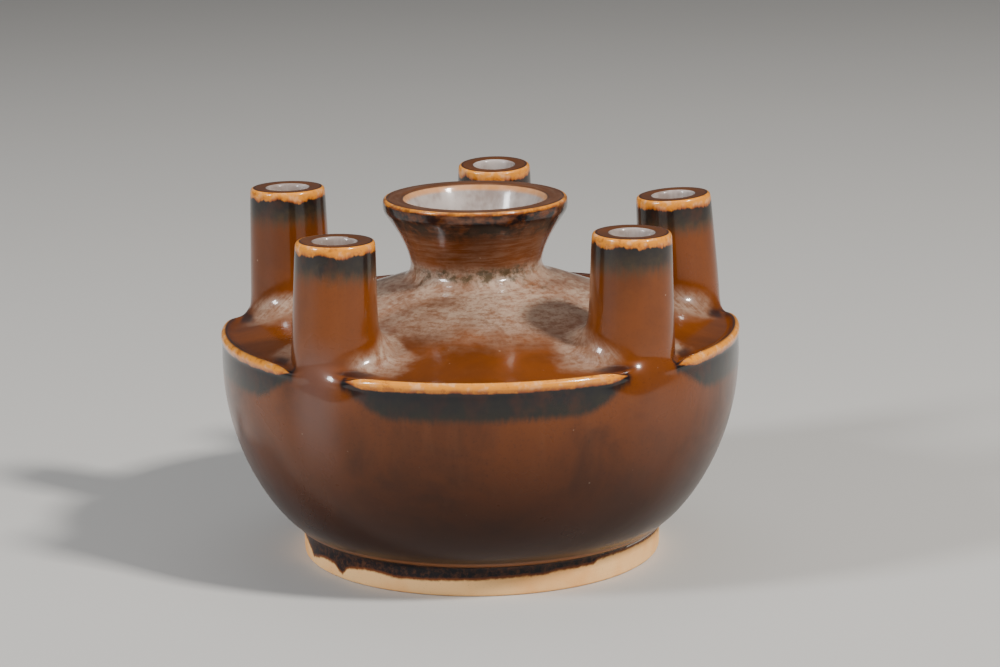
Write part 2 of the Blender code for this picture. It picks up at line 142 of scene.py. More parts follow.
def length(name, description, millimetres):
    """A length setting, given in millimetres."""
    return bpy.props.FloatProperty(
        name=name, description=description, default=millimetres * MM, unit="LENGTH", precision=5
    )


def five(name, description, values, unit):
    """One value for each spout."""
    return bpy.props.FloatVectorProperty(
        name=name, description=description, size=5, default=values, unit=unit, precision=5
    )


def lengths(name, description, millimetres):
    """One length for each spout, given in millimetres."""
    return five(name, description, [value * MM for value in millimetres], "LENGTH")


def angles(name, description, values):
    """One angle for each spout, given in degrees."""
    return five(name, description, [radians(value) for value in values], "ROTATION")


def tint(name, description, red, green, blue):
    """A colour setting, given as it shows on a screen, from 0 to 255."""
    linear = [((level / 255.0 + 0.055) / 1.055) ** 2.4 for level in (red, green, blue)]
    return bpy.props.FloatVectorProperty(
        name=name, description=description, size=3, default=linear, subtype="COLOR", min=0.0, max=1.0
    )


class PotSizes(bpy.types.PropertyGroup):
    """Sizes of the turned pot."""

    foot_radius: length("Foot radius", "Outer radius of the foot ring", 41.5)
    foot_height: length("Foot height", "Height of the foot's upright side", 6.8)
    foot_ring: length("Foot ring width", "Width of the ring that the pot stands on", 7.0)
    foot_edge: length("Foot edge", "Rounding of the foot's corners", 0.35)
    foot_shift: length("Foot shift", "How far the foot sits to the right of the belly's axis", -0.4)
    recess: length("Recess", "Depth of the hollow under the foot", 3.5)
    shelf_width: length("Shelf width", "How far the belly overhangs the foot", 2.4)
    shelf_rise: length("Shelf rise", "Rise of the overhang", 1.5)
    belly_radius: length("Belly radius", "Outer radius of the belly at its widest", 59.6)
    belly_height: length("Belly height", "Height where the belly is widest", 46.0)
    ridge_radius: length("Ridge radius", "Outer radius of the ridge", 59.8)
    ridge_height: length("Ridge height", "Height of the ridge's nose", 51.8)
    ridge_rounding: length("Ridge rounding", "Radius of the ridge's nose", 1.2)
    ridge_gap: length("Ridge gap", "Half the gap in the ridge at each spout", 6.0)
    ridge_taper: length("Ridge taper", "Length over which each ridge end dies away", 5.9)
    channel_width: length("Channel width", "Width of the channel inside the ridge", 3.4)
    channel_depth: length("Channel depth", "Depth of the channel below the ridge's top", 1.3)
    neck_foot_radius: length("Neck foot radius", "Radius where the shoulder meets the neck", 19.5)
    neck_foot_height: length("Neck foot height", "Height where the shoulder meets the neck", 63.4)
    neck_foot_shift: length("Neck foot shift", "How far the neck's foot leans to the right", 0.8)
    shoulder_sag: length("Shoulder sag", "How far the shoulder sinks below a straight slope", 0.6)
    waist_radius: length("Waist radius", "Outer radius of the neck at its waist", 14.85)
    waist_height: length("Waist height", "Height of the neck's waist", 67.3)
    lip_radius: length("Lip radius", "Outer radius of the lip", 21.1)
    lip_band: length("Lip band", "Height of the lip", 3.6)
    lip_rounding: length("Lip rounding", "Rounding of the lip's edges", 0.9)
    lip_undercut: length("Lip undercut", "How far the lip stands out from the neck below it", 0.5)
    lip_flat: length("Lip flat", "Width of the flat on top of the lip", 3.5)
    rim_height: length("Rim height", "Height of the neck's rim", 82.4)
    neck_shift: length("Neck shift", "How far the neck sits to the right of the belly's axis", -0.7)
    wall: length("Wall", "Thickness of the body's wall", 4.3)
    neck_wall: length("Neck wall", "Thickness of the neck's wall", 3.5)
    floor: length("Floor", "Thickness of the floor", 4.8)
    inner_corner: length("Inner corner", "Size of the corner inside, under the ridge", 7.0)


class SpoutSizes(bpy.types.PropertyGroup):
    """Sizes and places of the five spouts, in the order front left, front right, right, back, left."""

    foot_radius: length("Foot radius", "Outer radius of a tube at its foot", 9.6)
    mouth_radius: length("Mouth radius", "Outer radius of a tube at its mouth", 8.75)
    rounding: length("Rounding", "Rounding of a mouth's outer edge", 1.1)
    bore_radius: length("Bore radius", "Radius of the hole through a tube", 4.4)
    bore_rounding: length("Bore rounding", "Rounding of the hole's edge", 0.6)
    flare_reach: length("Flare reach", "How far a foot's fillet spreads on the shoulder", 4.6)
    flare_rise: length("Flare rise", "How far a foot's fillet climbs up the tube", 6.0)
    flare_margin: length("Flare margin", "Room left round a fillet", 1.6)
    outer_reach: length("Outer reach", "How far the fillet spreads towards the ridge", 0.05)
    outer_rise: length("Outer rise", "How far the fillet climbs on the ridge's side", 4.5)
    outer_lift: length("Outer lift", "How far above the shoulder the ridge's side of a fillet starts", 3.8)
    flank_bulge: length("Flank bulge", "Bulge of the outer side between belly and tube", 0.05)
    flank_tuck: length("Flank tuck", "How far the belly is drawn in below the outer side", 0.4)
    flank_margin: length("Flank margin", "How far a tube's outer side stays inside the ridge", 0.5)
    azimuths: angles("Azimuths", "Direction of each spout's foot", (-40.6, 42.6, 109.2, 175.1, 249.2))
    leans: angles("Leans", "How far each mouth is swung round from its foot", (0.7, 0.0, 0.1, 0.0, 0.0))
    breaks: angles("Breaks", "Direction where each breaks the ridge", (-37.4, 39.6, 107.5, 175.1, 250.0))
    foot_outs: lengths("Foot distances", "From the axis to each foot", (48.9, 48.6, 50.0, 49.2, 47.4))
    mouth_outs: lengths("Mouth distances", "From the axis to each mouth", (48.5, 49.0, 48.3, 47.2, 47.6))
    tops: lengths("Tops", "Height of each mouth", (80.0, 80.6, 79.3, 81.7, 82.3))


class GlazeColours(bpy.types.PropertyGroup):
    """Colours of the glaze and the clay."""

    brown: tint("Brown", "Glaze of the belly and the tubes", 122, 60, 6)
    # Also paints the shade low on the belly, over the glaze's own darkening there.
    dark_brown: tint("Dark brown", "Glaze where it lies thick", 42, 17, 3)
    # Also paints the highlight on the strip above the foot.
    light_brown: tint("Light brown", "Thin streaks in the glaze", 146, 90, 52)
    tan: tint("Tan", "Glaze where it breaks over an edge", 236, 150, 46)
    rust: tint("Rust", "Lower edge of the tan, where it turns dark", 150, 72, 26)
    blue_black: tint("Blue black", "Darker half of the band below an edge", 15, 16, 24)
    olive: tint("Olive", "Lower half of the band below a mouth", 72, 58, 36)
    dark_olive: tint("Dark olive", "Lower half of the band below the ridge", 38, 34, 24)
    # Milky glaze on the shoulder, partly painted sheen where the lights glance off it.
    haze_and_sheen: tint("Haze", "Milky streaks on the shoulder", 186, 160, 138)
    # Painted reflection: a pinkish-grey sheen of the left light on the belly below the left spouts.
    mauve_reflection: tint("Mauve", "Thin veil on the belly below the left spouts", 112, 84, 76)
    throat: tint("Throat", "Thin glaze inside, where it is pale", 188, 177, 170)
    dull_throat: tint("Dull throat", "Thin glaze inside, where it is dull", 150, 134, 126)
    clay: tint("Clay", "Bare clay of the foot", 255, 204, 140)
    warm_clay: tint("Warm clay", "Bare clay where the fire has reddened it", 250, 184, 116)
    burnt: tint("Burnt edge", "Thin rim where the glaze ends on the clay", 122, 66, 30)


class StudioSettings(bpy.types.PropertyGroup):
    """Floor, lights and camera."""

    floor_size: length("Floor size", "Width of the square floor", 6000.0)
    floor_colour: tint("Floor colour", "Colour of the floor", 200, 198, 194)
    lens: number("Lens", "Focal length of the camera in millimetres", 108.0)
    place: bpy.props.FloatVectorProperty(
        name="Camera place",
        description="Where the camera stands",
        default=(-0.0004, -0.6743, 0.2057),
        unit="LENGTH",
        precision=5,
    )
    pitch: number("Pitch", "Tilt of the camera", -0.2268, "ROTATION")
    yaw: number("Yaw", "Swing of the camera", 0.0073, "ROTATION")
    roll: number("Roll", "Roll of the camera", -0.0150, "ROTATION")
    key: number("Key light", "Strength of the right light", 24.0, "POWER")
    fill: number("Fill light", "Strength of the left light", 12.0, "POWER")
    top: number("Top light", "Strength of the upper light", 1.2, "POWER")
    room: number("Room light", "Strength of the room's glow", 0.08)


def mix(start, end, share):
    """Straight mix of two values or two points."""
    return start + (end - start) * share


def ease(low, high, value):
    """Ease from 0 at low to 1 at high, for a number or an array."""
    share = np.clip((value - low) / (high - low), 0.0, 1.0)
    return share * share * (3.0 - 2.0 * share)


def plan(distance, azimuth, height=0.0):
    """The point at a distance from the axis, in the direction of an azimuth and at a height."""
    return Vector((distance * sin(azimuth), -distance * cos(azimuth), height))


def wrap(angle):
    """An angle brought to within half a turn of 0, for a number or an array."""
    return (angle + pi) % (2.0 * pi) - pi


def arc(turn):
    """How far a quarter arc still has to go in, and how far it has risen, at a turn, as shares."""
    return 1.0 - sin(turn), 1.0 - cos(turn)


def swell(count):
    """How much wider a loop of so many points is drawn, because smoothing pulls it in."""
    return 6.0 / (4.0 + 2.0 * cos(2.0 * pi / count))


def following(azimuths, index):
    """The next azimuth of five, in degrees, a full turn further on after the last one."""
    return azimuths[(index + 1) % 5] + 360.0 * (index == 4)


class PotShape:
    """The pot's surfaces, worked out from its sizes."""

    def __init__(self, pot, tubes):
        self.pot = pot
        self.tubes = tubes
        gap = degrees(pot.ridge_gap / pot.ridge_radius)
        far = gap + degrees(pot.ridge_taper / pot.ridge_radius)
        self.wall_azimuths = self.columns([degrees(a) for a in tubes.breaks], gap, far)
        self.neck_azimuths = self.standing_columns(NECK_PATCH)
        self.ceiling_azimuths = self.standing_columns(CEILING_PATCH)
        self.patches = self.patch_columns()
        self.spouts = [Spout(self, index) for index in range(5)]
        self.breaks = {}
        for spout, patch in zip(self.spouts, self.patches):
            for column, turn in zip(patch[1:-1], (-FLANK_TURN, 0.0, FLANK_TURN)):
                self.breaks[column] = (spout, radians(turn))

    def wall_radius(self, height):
        """Outer radius of the belly between the shelf over the foot and its widest height."""
        pot = self.pot
        low = pot.foot_height + pot.shelf_rise
        share = min(max((height - low) / (pot.belly_height - low), 0.0), 1.0)
        share = (1.0 - (1.0 - share) ** 2) ** BELLY_FULLNESS
        return mix(pot.foot_radius + pot.shelf_width, pot.belly_radius, share)

    def shoulder_height(self, radius):
        """Height of the sloping shoulder between the channel and the foot of the neck."""
        pot = self.pot
        low = pot.ridge_height + pot.ridge_rounding - pot.channel_depth
        outer = pot.ridge_radius - pot.channel_width
        share = (outer - radius) / (outer - pot.neck_foot_radius)
        return mix(low, pot.neck_foot_height, share) - pot.shoulder_sag * sin(pi * min(max(share, 0.0), 1.0))

    def free_steps(self, index):
        """How many columns share the skin between one spout's patch and the next one's."""
        azimuths = [degrees(a) for a in self.tubes.azimuths]
        between = following(azimuths, index) - azimuths[index] - 2.0 * NECK_PATCH
        return max(2, round(between / COLUMN_STEP))

    def columns(self, centres, near, far):
        """Azimuths of the columns: five on each spout's patch, then even steps to the next patch."""
        found = []
        for index, centre in enumerate(centres):
            found += [centre - far, centre - near, centre, centre + near, centre + far]
            start, end = centre + far, following(centres, index) - far
            steps = self.free_steps(index)
            found += [mix(start, end, step / steps) for step in range(1, steps)]
        return [radians(azimuth) for azimuth in found]

    def standing_columns(self, half_angle):
        """Column azimuths where the patches are centred on the spouts themselves."""
        return self.columns([degrees(a) for a in self.tubes.azimuths], half_angle / 2.0, half_angle)

    def patch_columns(self):
        """The five column numbers of each spout's patch."""
        patches = []
        first = 0
        for index in range(5):
            patches.append(list(range(first, first + PATCH_FACES + 1)))
            first += PATCH_FACES + self.free_steps(index)
        return patches

    def patch_half_angle(self, radius):
        """Half width of a spout's round patch where it is crossed by a ring of this radius."""
        middle = sum(self.tubes.foot_outs) / 5.0
        reach = self.tubes.foot_radius + self.tubes.flare_reach + self.tubes.flare_margin
        sideways = max(reach**2 - (radius - middle) ** 2, (PATCH_END_SHARE * reach) ** 2) ** 0.5
        return degrees(asin(min(sideways / radius, 0.5)))

    def ring(self, radius, height, azimuths, shift=0.0, flank=None):
        """Points of one ring; with a flank share it leaves its circle where a spout breaks the ridge."""
        points = []
        for column, azimuth in enumerate(azimuths):
            point = plan(radius * swell(len(azimuths)), azimuth, height)
            point.x += shift
            if flank is not None and column in self.breaks:
                spout, turn = self.breaks[column]
                point = spout.flank_point(azimuth, turn, flank)
            points.append(point)
        return points

    def foot_rings(self):
        """Underside and wall of the foot, from the recess out to the shelf under the belly."""
        pot = self.pot
        inner = pot.foot_radius - pot.foot_ring
        edge = pot.foot_edge
        profile = (
            (0.5 * inner, pot.recess),
            (inner - 2.0 * edge, pot.recess),
            (inner - edge, pot.recess - edge),
            (inner, edge),
            (inner + edge, 0.0),
            (pot.foot_radius - 2.0 * edge, 0.0),
            (pot.foot_radius - 0.6 * edge, 0.2 * edge),
            (pot.foot_radius, 1.4 * edge),
            (pot.foot_radius, 0.5 * pot.foot_height),
            (pot.foot_radius, pot.foot_height - edge),
            (pot.foot_radius + 0.25 * pot.shelf_width, pot.foot_height + 0.1 * pot.shelf_rise),
            (pot.foot_radius + 0.8 * pot.shelf_width, pot.foot_height + 0.4 * pot.shelf_rise),
            (pot.foot_radius + pot.shelf_width, pot.foot_height + pot.shelf_rise),
        )
        return [self.ring(*point, self.wall_azimuths, pot.foot_shift) for point in profile]

    def wall_rings(self):
        """Belly from just above the shelf to just below the ridge."""
        pot = self.pot
        low = pot.foot_height + pot.shelf_rise
        rings = []
        for row in range(1, WALL_ROWS + 1):
            share = row / WALL_ROWS
            height = mix(low, pot.belly_height, share**WALL_ROW_POWER)
            radius = self.wall_radius(height)
            rings.append(self.ring(radius, height, self.wall_azimuths, pot.foot_shift * (1.0 - share)))
        return rings

    def ridge_rings(self):
        """The rounded ridge and the channel inside it; between a spout and the belly they lie flat."""
        pot = self.pot
        nose = pot.ridge_rounding * NOSE_SWELL
        centre = pot.ridge_radius - pot.ridge_rounding
        profile = [(pot.belly_radius - 0.1 * nose, pot.ridge_height - 1.5 * nose)]
        for turn in RIDGE_TURNS:
            out = centre + nose * cos(radians(turn))
            profile.append((out, pot.ridge_height + nose * sin(radians(turn))))
        bottom = pot.ridge_radius - CHANNEL_BOTTOM_SHARE * pot.channel_width
        profile.append((bottom, pot.ridge_height + nose - pot.channel_depth))
        inside = pot.ridge_radius - CHANNEL_END_SHARE * pot.channel_width
        profile.append((inside, self.shoulder_height(inside)))
        rings = []
        for row, (radius, height) in enumerate(profile, start=1):
            rings.append(self.ring(radius, height, self.wall_azimuths, flank=row / (len(profile) + 1)))
        return rings

    def shoulder_rings(self):
        """Shoulder across the spouts' patches, to their inner edge."""
        pot, tubes = self.pot, self.tubes
        inner = min(tubes.foot_outs) - tubes.foot_radius - tubes.flare_reach - tubes.flare_margin
        outer = pot.ridge_radius - CHANNEL_END_SHARE * pot.channel_width
        radii = [mix(outer, inner, row / PATCH_FACES) for row in range(1, PATCH_FACES + 1)]
        columns = [self.standing_columns(self.patch_half_angle(radius)) for radius in radii]
        return [self.ring(radius, self.shoulder_height(radius), near) for radius, near in zip(radii, columns)]

    def neck_rings(self, last_radius):
        """Shoulder inside the patches, then the neck up to its lip and down its throat."""
        pot = self.pot
        rings = []
        for share in (0.35, 0.7):
            radius = mix(last_radius, pot.neck_foot_radius, share)
            height = self.shoulder_height(radius)
            rings.append(self.ring(radius, height, self.neck_azimuths, pot.neck_foot_shift * share))
        reach = pot.neck_foot_radius - pot.waist_radius
        rise = pot.waist_height - pot.neck_foot_height
        for turn in NECK_FOOT_TURNS:
            away, risen = arc(radians(turn))
            height = pot.neck_foot_height + rise * risen
            shift = mix(pot.neck_shift, pot.neck_foot_shift, away)
            rings.append(self.ring(pot.waist_radius + reach * away, height, self.neck_azimuths, shift))
        profile = [(pot.waist_radius, pot.waist_height)]
        under_lip = pot.rim_height - pot.lip_band
        for share in (0.3, 0.55, 0.8, 1.0):
            radius = mix(pot.waist_radius, pot.lip_radius - pot.lip_undercut, share**NECK_FLARE_POWER)
            profile.append((radius, mix(pot.waist_height, under_lip, share)))
        inner_lip = pot.lip_radius - pot.lip_rounding - pot.lip_flat
        throat = pot.waist_radius - pot.neck_wall
        rounding = pot.lip_rounding
        profile += [
            (pot.lip_radius, under_lip + rounding),
            (pot.lip_radius + 0.05 * rounding, pot.rim_height - rounding),
            (pot.lip_radius - 0.15 * rounding, pot.rim_height - 0.15 * rounding),
            (pot.lip_radius - rounding, pot.rim_height),
            (inner_lip, pot.rim_height),
            (inner_lip - 0.45 * rounding, pot.rim_height - 0.45 * rounding),
        ]
        for share in (0.75, 0.4, 0.0):
            out = mix(throat, inner_lip - rounding, share**NECK_FLARE_POWER)
            profile.append((out, mix(pot.waist_height, pot.rim_height - rounding, share)))
        for turn in NECK_FOOT_TURNS[::-1]:
            away, risen = arc(radians(turn))
            ceiling = pot.neck_foot_height - pot.wall
            profile.append((throat + reach * away, mix(ceiling, pot.waist_height, risen)))
        return rings + [self.ring(*point, self.neck_azimuths, pot.neck_shift) for point in profile]

    def ceiling_rings(self):
        """Underside of the shoulder, ending where it turns down into the inner wall."""
        pot = self.pot
        outer = pot.belly_radius - pot.wall - 0.25 * pot.inner_corner
        inner = min(self.tubes.foot_outs) - self.tubes.foot_radius
        radii = [mix(inner, outer, row / PATCH_FACES) for row in range(PATCH_FACES + 1)]
        profile = [(radius, self.shoulder_height(radius) - pot.wall) for radius in radii]
        return [self.ring(*point, self.ceiling_azimuths) for point in profile]

    def inner_wall_rings(self):
        """Inner wall from the corner under the ridge down to the floor."""
        pot = self.pot
        profile = []
        corner = self.shoulder_height(pot.belly_radius - pot.wall) - pot.wall - pot.inner_corner
        floor = pot.recess + pot.floor
        for share in (0.0, 0.25, 0.5, 0.72, 0.9):
            height = mix(corner, floor + pot.wall, share)
            profile.append((self.wall_radius(height) - pot.wall * (1.0 + FOOT_WALL_GROWTH * share), height))
        inside = pot.foot_radius - pot.wall
        profile += [(inside, floor + 0.3 * pot.wall), (0.6 * inside, floor)]
        return [self.ring(*point, self.ceiling_azimuths) for point in profile]


class Spout:
    """Where one spout stands, and the surfaces that lead up to it."""

    def __init__(self, shape, index):
        self.shape = shape
        tubes = shape.tubes
        azimuth, out = tubes.azimuths[index], tubes.foot_outs[index]
        self.foot = plan(out, azimuth, shape.shoulder_height(out))
        self.mouth = plan(tubes.mouth_outs[index], azimuth + tubes.leans[index], tubes.tops[index])
        ridge_break = plan(shape.pot.ridge_radius, tubes.breaks[index], self.foot.z)
        self.outward = (ridge_break - self.foot).normalized()
        self.sideways = Vector((0.0, 0.0, 1.0)).cross(self.outward)
        self.axis = (self.mouth - self.foot).normalized()
        self.across = self.sideways.cross(self.axis)

    def tube(self, height):
        """Point of the tube's axis, and the tapering tube's outer radius, at a height."""
        tubes = self.shape.tubes
        share = (height - self.foot.z) / (self.mouth.z - self.foot.z)
        return mix(self.foot, self.mouth, share), mix(tubes.foot_radius, tubes.mouth_radius, share)

    def turn_to(self, point, turn):
        """The smallest angle round the spout from a turn to the direction of a point."""
        away = point - self.foot
        towards = atan2(away.dot(self.sideways), away.dot(self.outward))
        return wrap(towards - turn)

    def flare_point(self, turn, share, room=1.0):
        """Point of the concave flare, from the shoulder at share 0 to the tube at share 1."""
        tubes = self.shape.tubes
        facing = cos(turn)
        outer = float(ease(OUTER_FACING, 1.0, facing))
        reach = min(mix(tubes.flare_reach, tubes.outer_reach, outer), room - tubes.foot_radius)
        rise = mix(tubes.flare_rise, tubes.outer_rise, outer)
        lift = tubes.outer_lift * max(0.0, 2.0 * facing - 1.0) ** 2
        away, risen = arc(share * pi / 2)
        out = reach * away
        direction = self.outward * facing + self.sideways * sin(turn)
        foot = self.foot + direction * (tubes.foot_radius + out)
        height = self.shape.shoulder_height(hypot(foot.x, foot.y)) + lift + rise * risen
        centre, radius = self.tube(height)
        point = centre + direction * (radius * swell(LOOP_POINTS) + out)
        limit = self.shape.pot.ridge_radius - tubes.flank_margin
        inside_ridge = min(1.0, limit / hypot(point.x, point.y))
        return Vector((point.x * inside_ridge, point.y * inside_ridge, height))

    def flank_point(self, azimuth, turn, share):
        """Point of the spout's outer side, from the belly over the ridge to the edge of its flare."""
        pot = self.shape.pot
        top = self.flare_point(turn, 0.0)
        low = pot.ridge_height - 2.2 * pot.ridge_rounding
        bulge = self.shape.tubes.flank_bulge * sin(pi * share)
        radius = mix(pot.belly_radius - self.shape.tubes.flank_tuck, hypot(top.x, top.y), share) + bulge
        lean = wrap(atan2(top.x, -top.y) - azimuth)
        return plan(radius, azimuth + lean * share, mix(low, top.z, share))

    def level_loop(self, radius, drop):
        """Points of a loop square to the spout's axis, at a drop below the mouth."""
        points = []
        for index in range(LOOP_POINTS):
            turn = 2.0 * pi * index / LOOP_POINTS
            direction = self.across * cos(turn) + self.sideways * sin(turn)
            points.append(self.mouth - self.axis * drop + direction * radius * swell(LOOP_POINTS))
        return points

    def loops(self, outer_border, inner_border):
        """Loops of points from the patch outside, up the tube and down the bore to the patch inside."""
        tubes = self.shape.tubes
        found = []
        for step in range(FLARE_STEPS + 1):
            share = step / FLARE_STEPS
            points = []
            for index, border in enumerate(outer_border):
                turn = 2.0 * pi * index / LOOP_POINTS
                room = hypot(border.x - self.foot.x, border.y - self.foot.y)
                if cos(turn) < cos(radians(FLANK_TURN)):
                    room -= 0.5 * tubes.flare_margin
                twist = self.turn_to(border, turn) * (1.0 - share)
                points.append(self.flare_point(turn + twist, share, room))
            found.append(points)
        collar = 3.0 * tubes.rounding
        high = self.level_loop(self.tube(self.mouth.z - collar)[1], collar)
        for share in (0.33, 0.67):
            found.append([mix(a, b, share) for a, b in zip(found[FLARE_STEPS], high)])
        found.append(high)
        ceiling = self.mouth.z - self.foot.z + self.shape.pot.wall
        mouth, rounding = tubes.mouth_radius, tubes.rounding
        profile = (
            (mouth, rounding),
            (mouth - 0.15 * rounding, 0.15 * rounding),
            (mouth - rounding, 0.0),
            (tubes.bore_radius + tubes.bore_rounding, 0.0),
            (tubes.bore_radius, tubes.bore_rounding),
            (tubes.bore_radius, 0.15 * ceiling),
            (tubes.bore_radius, 0.5 * ceiling),
            (tubes.bore_radius, ceiling - 2.0 * tubes.bore_rounding),
        )
        found += [self.level_loop(radius, drop) for radius, drop in profile]
        flared = self.level_loop(tubes.bore_radius + 2.0 * tubes.bore_rounding, ceiling)
        for point in flared:
            point.z = self.shape.shoulder_height(hypot(point.x, point.y)) - self.shape.pot.wall
        return found + [flared, inner_border]


def patch_border(rows, columns):
    """The border points of a patch in order round its spout, from the outermost point."""
    middle = PATCH_FACES // 2
    border = [rows[0][columns[c]] for c in range(middle, PATCH_FACES + 1)]
    border += [rows[r][columns[-1]] for r in range(1, PATCH_FACES + 1)]
    border += [rows[-1][columns[c]] for c in range(PATCH_FACES - 1, -1, -1)]
    border += [rows[r][columns[0]] for r in range(PATCH_FACES - 1, -1, -1)]
    border += [rows[0][columns[c]] for c in range(1, middle)]
    return border


def edit_points():
    """The edited mesh and its points."""
    mesh = bmesh.from_edit_mesh(bpy.context.edit_object.data)
    mesh.verts.ensure_lookup_table()
    return mesh, mesh.verts


def choose(points):
    """Select only these points and what lies between them."""
    mesh, everything = edit_points()
    for vertex in everything:
        vertex.select = False
    for vertex in points:
        vertex.select = True
    mesh.select_flush_mode()
    bmesh.update_edit_mesh(bpy.context.edit_object.data, loop_triangles=False, destructive=False)


def settle(indices, targets):
    """Move points one by one to where they belong, leaving those that are there already."""
    for index, target in zip(indices, targets):
        _, points = edit_points()
        step = target - points[index].co
        if step.length > LEAST_STEP:
            choose([points[index]])
            bpy.ops.transform.translate(value=step)


def find_points(targets):
    """Numbers of the points that lie at the targets."""
    _, points = edit_points()
    places = np.array([vertex.co for vertex in points])
    return [int(((places - np.array(target)) ** 2).sum(axis=1).argmin()) for target in targets]


def draw_profile(profile, azimuth):
    """One vertex drawn out point by point into the pot's outline, in the direction of an azimuth."""
    bpy.ops.mesh.primitive_plane_add(size=MM)
    bpy.ops.object.mode_set(mode="EDIT")
    bpy.ops.mesh.select_mode(type="VERT")
    bpy.ops.mesh.select_all(action="SELECT")
    bpy.ops.mesh.merge(type="CENTER")
    outline = [plan(radius, azimuth, height) for radius, height in profile]
    bpy.ops.transform.translate(value=outline[0])
    for here, following in zip(outline, outline[1:]):
        bpy.ops.mesh.extrude_region_move(TRANSFORM_OT_translate={"value": following - here})


def throw_pot(rings, azimuths):
    """Turn the outline column by column into a closed skin, and set every ring in its place."""
    profile = [(hypot(ring[0].x, ring[0].y), ring[0].z) for ring in rings]
    profile = [(0.0, profile[0][1])] + profile + [(0.0, profile[-1][1])]
    draw_profile(profile, azimuths[0])
    bpy.ops.mesh.select_all(action="SELECT")
    whole = azimuths + [azimuths[0] + 2.0 * pi]
    for here, following in zip(whole, whole[1:]):
        bpy.ops.mesh.spin(steps=1, angle=following - here, center=(0.0, 0.0, 0.0), axis=(0.0, 0.0, -1.0))
    bpy.ops.mesh.select_all(action="SELECT")
    bpy.ops.mesh.remove_doubles(threshold=MERGE)
    for (radius, height), ring in zip(profile[1:-1], rings):
        thrown = [plan(radius, azimuth, height) for azimuth in azimuths]
        settle(find_points(thrown), ring)


def open_patch(rows, columns):
    """Cut a spout's patch out of the skin."""
    inside = [row[column] for row in rows for column in columns]
    _, points = edit_points()
    chosen = [points[index] for index in find_points(inside)]
    choose(chosen)
    bpy.ops.mesh.delete(type="ONLY_FACE")


def draw_spout(loops, border):
    """Extrude a spout from its patch's border, loop by loop."""
    last = border
    for loop in loops:
        _, points = edit_points()
        choose([points[index] for index in find_points(last)])
        bpy.ops.mesh.extrude_edges_move(TRANSFORM_OT_translate={"value": (0.0, 0.0, 0.0)})
        _, points = edit_points()
        fresh = [vertex.index for vertex in points if vertex.select]
        places = {index: points[index].co.copy() for index in fresh}
        order = [min(fresh, key=lambda index: (places[index] - point).length) for point in last]
        settle(order, loop)
        last = loop


def make_pot(shape):
    """The whole pot as one closed, smoothed mesh."""
    below = shape.foot_rings() + shape.wall_rings() + shape.ridge_rings()
    shoulder = shape.shoulder_rings()
    neck = shape.neck_rings(hypot(shoulder[-1][0].x, shoulder[-1][0].y) / swell(len(shape.neck_azimuths)))
    ceiling = shape.ceiling_rings()
    rings = below + shoulder + neck + ceiling + shape.inner_wall_rings()
    throw_pot(rings, shape.wall_azimuths)
    pot = bpy.context.edit_object
    outer_rows = [below[-1]] + shoulder
    inner_rows = ceiling[::-1]
    for spout, columns in zip(shape.spouts, shape.patches):
        outer_border = patch_border(outer_rows, columns)
        inner_border = patch_border(inner_rows, columns)
        open_patch(outer_rows, columns)
        open_patch(inner_rows, columns)
        draw_spout(spout.loops(outer_border, inner_border), outer_border)
    bpy.ops.mesh.select_all(action="SELECT")
    bpy.ops.mesh.delete_loose(use_verts=True, use_edges=True, use_faces=False)
    bpy.ops.mesh.select_all(action="SELECT")
    bpy.ops.mesh.remove_doubles(threshold=MERGE)
    bpy.ops.mesh.normals_make_consistent(inside=False)
    bpy.ops.object.mode_set(mode="OBJECT")
    pot.name = pot.data.name = "glazed_pot"
    smooth = pot.modifiers.new("smooth", "SUBSURF")
    smooth.levels = smooth.render_levels = 2
    bpy.ops.object.modifier_apply(modifier=smooth.name)
    bpy.ops.object.shade_smooth()
    return pot


def point_places(pot):
    """The pot's points as an array."""
    places = np.empty(3 * len(pot.data.vertices))
    pot.data.vertices.foreach_get("co", places)
    return places.reshape(-1, 3)


def beside_spout(spout, places):
    """How far points lie from a spout's axis, and how far below its mouth."""
    axis = np.array(spout.axis)
    away = places - np.array(spout.foot)
    along = away @ axis
    aside = np.linalg.norm(away - along[:, None] * axis, axis=1)
    return aside, (spout.mouth - spout.foot).length - along


def spout_masks(places, shape):
    """Run down from each mouth, gap from each spout's foot, and how far each break in the ridge lies."""
    pot, tubes = shape.pot, shape.tubes
    x, y, z = places.T
    mouth_run, foot_gap, break_gap = np.full((3, len(z)), FAR * MM)
    width = tubes.mouth_radius - tubes.bore_radius
    for spout, turned in zip(shape.spouts, tubes.breaks):
        aside, drop = beside_spout(spout, places)
        down_bore = (aside < tubes.bore_radius + tubes.bore_rounding) & (drop > 0.3 * tubes.bore_rounding)
        run = np.where(down_bore, -width - drop, drop - np.maximum(0.0, tubes.mouth_radius - aside))
        near = (aside < 1.5 * tubes.foot_radius) & (z > pot.belly_height)
        mouth_run = np.where(near & (run < mouth_run), run, mouth_run)
        foot_gap = np.where(z > pot.belly_height, np.minimum(foot_gap, aside - tubes.foot_radius), foot_gap)
        swung = np.abs(wrap(np.arctan2(x, -y) - turned)) * pot.ridge_radius
        break_gap = np.minimum(break_gap, swung - pot.ridge_gap)
    return mouth_run, foot_gap, break_gap


def lid_heights(shape, radius):
    """Height of the bare shoulder under each point."""
    reaches = np.linspace(0.0, 1.1 * shape.pot.ridge_radius, PROFILE_SAMPLES)
    return np.interp(radius, reaches, [shape.shoulder_height(reach) for reach in reaches])


def neck_out(pot, height):
    """Outer radius of the neck at a height."""
    share = np.clip((height - pot.waist_height) / (pot.rim_height - pot.waist_height), 0.0, 1.0)
    return mix(pot.waist_radius, pot.lip_radius, share**NECK_FLARE_POWER)


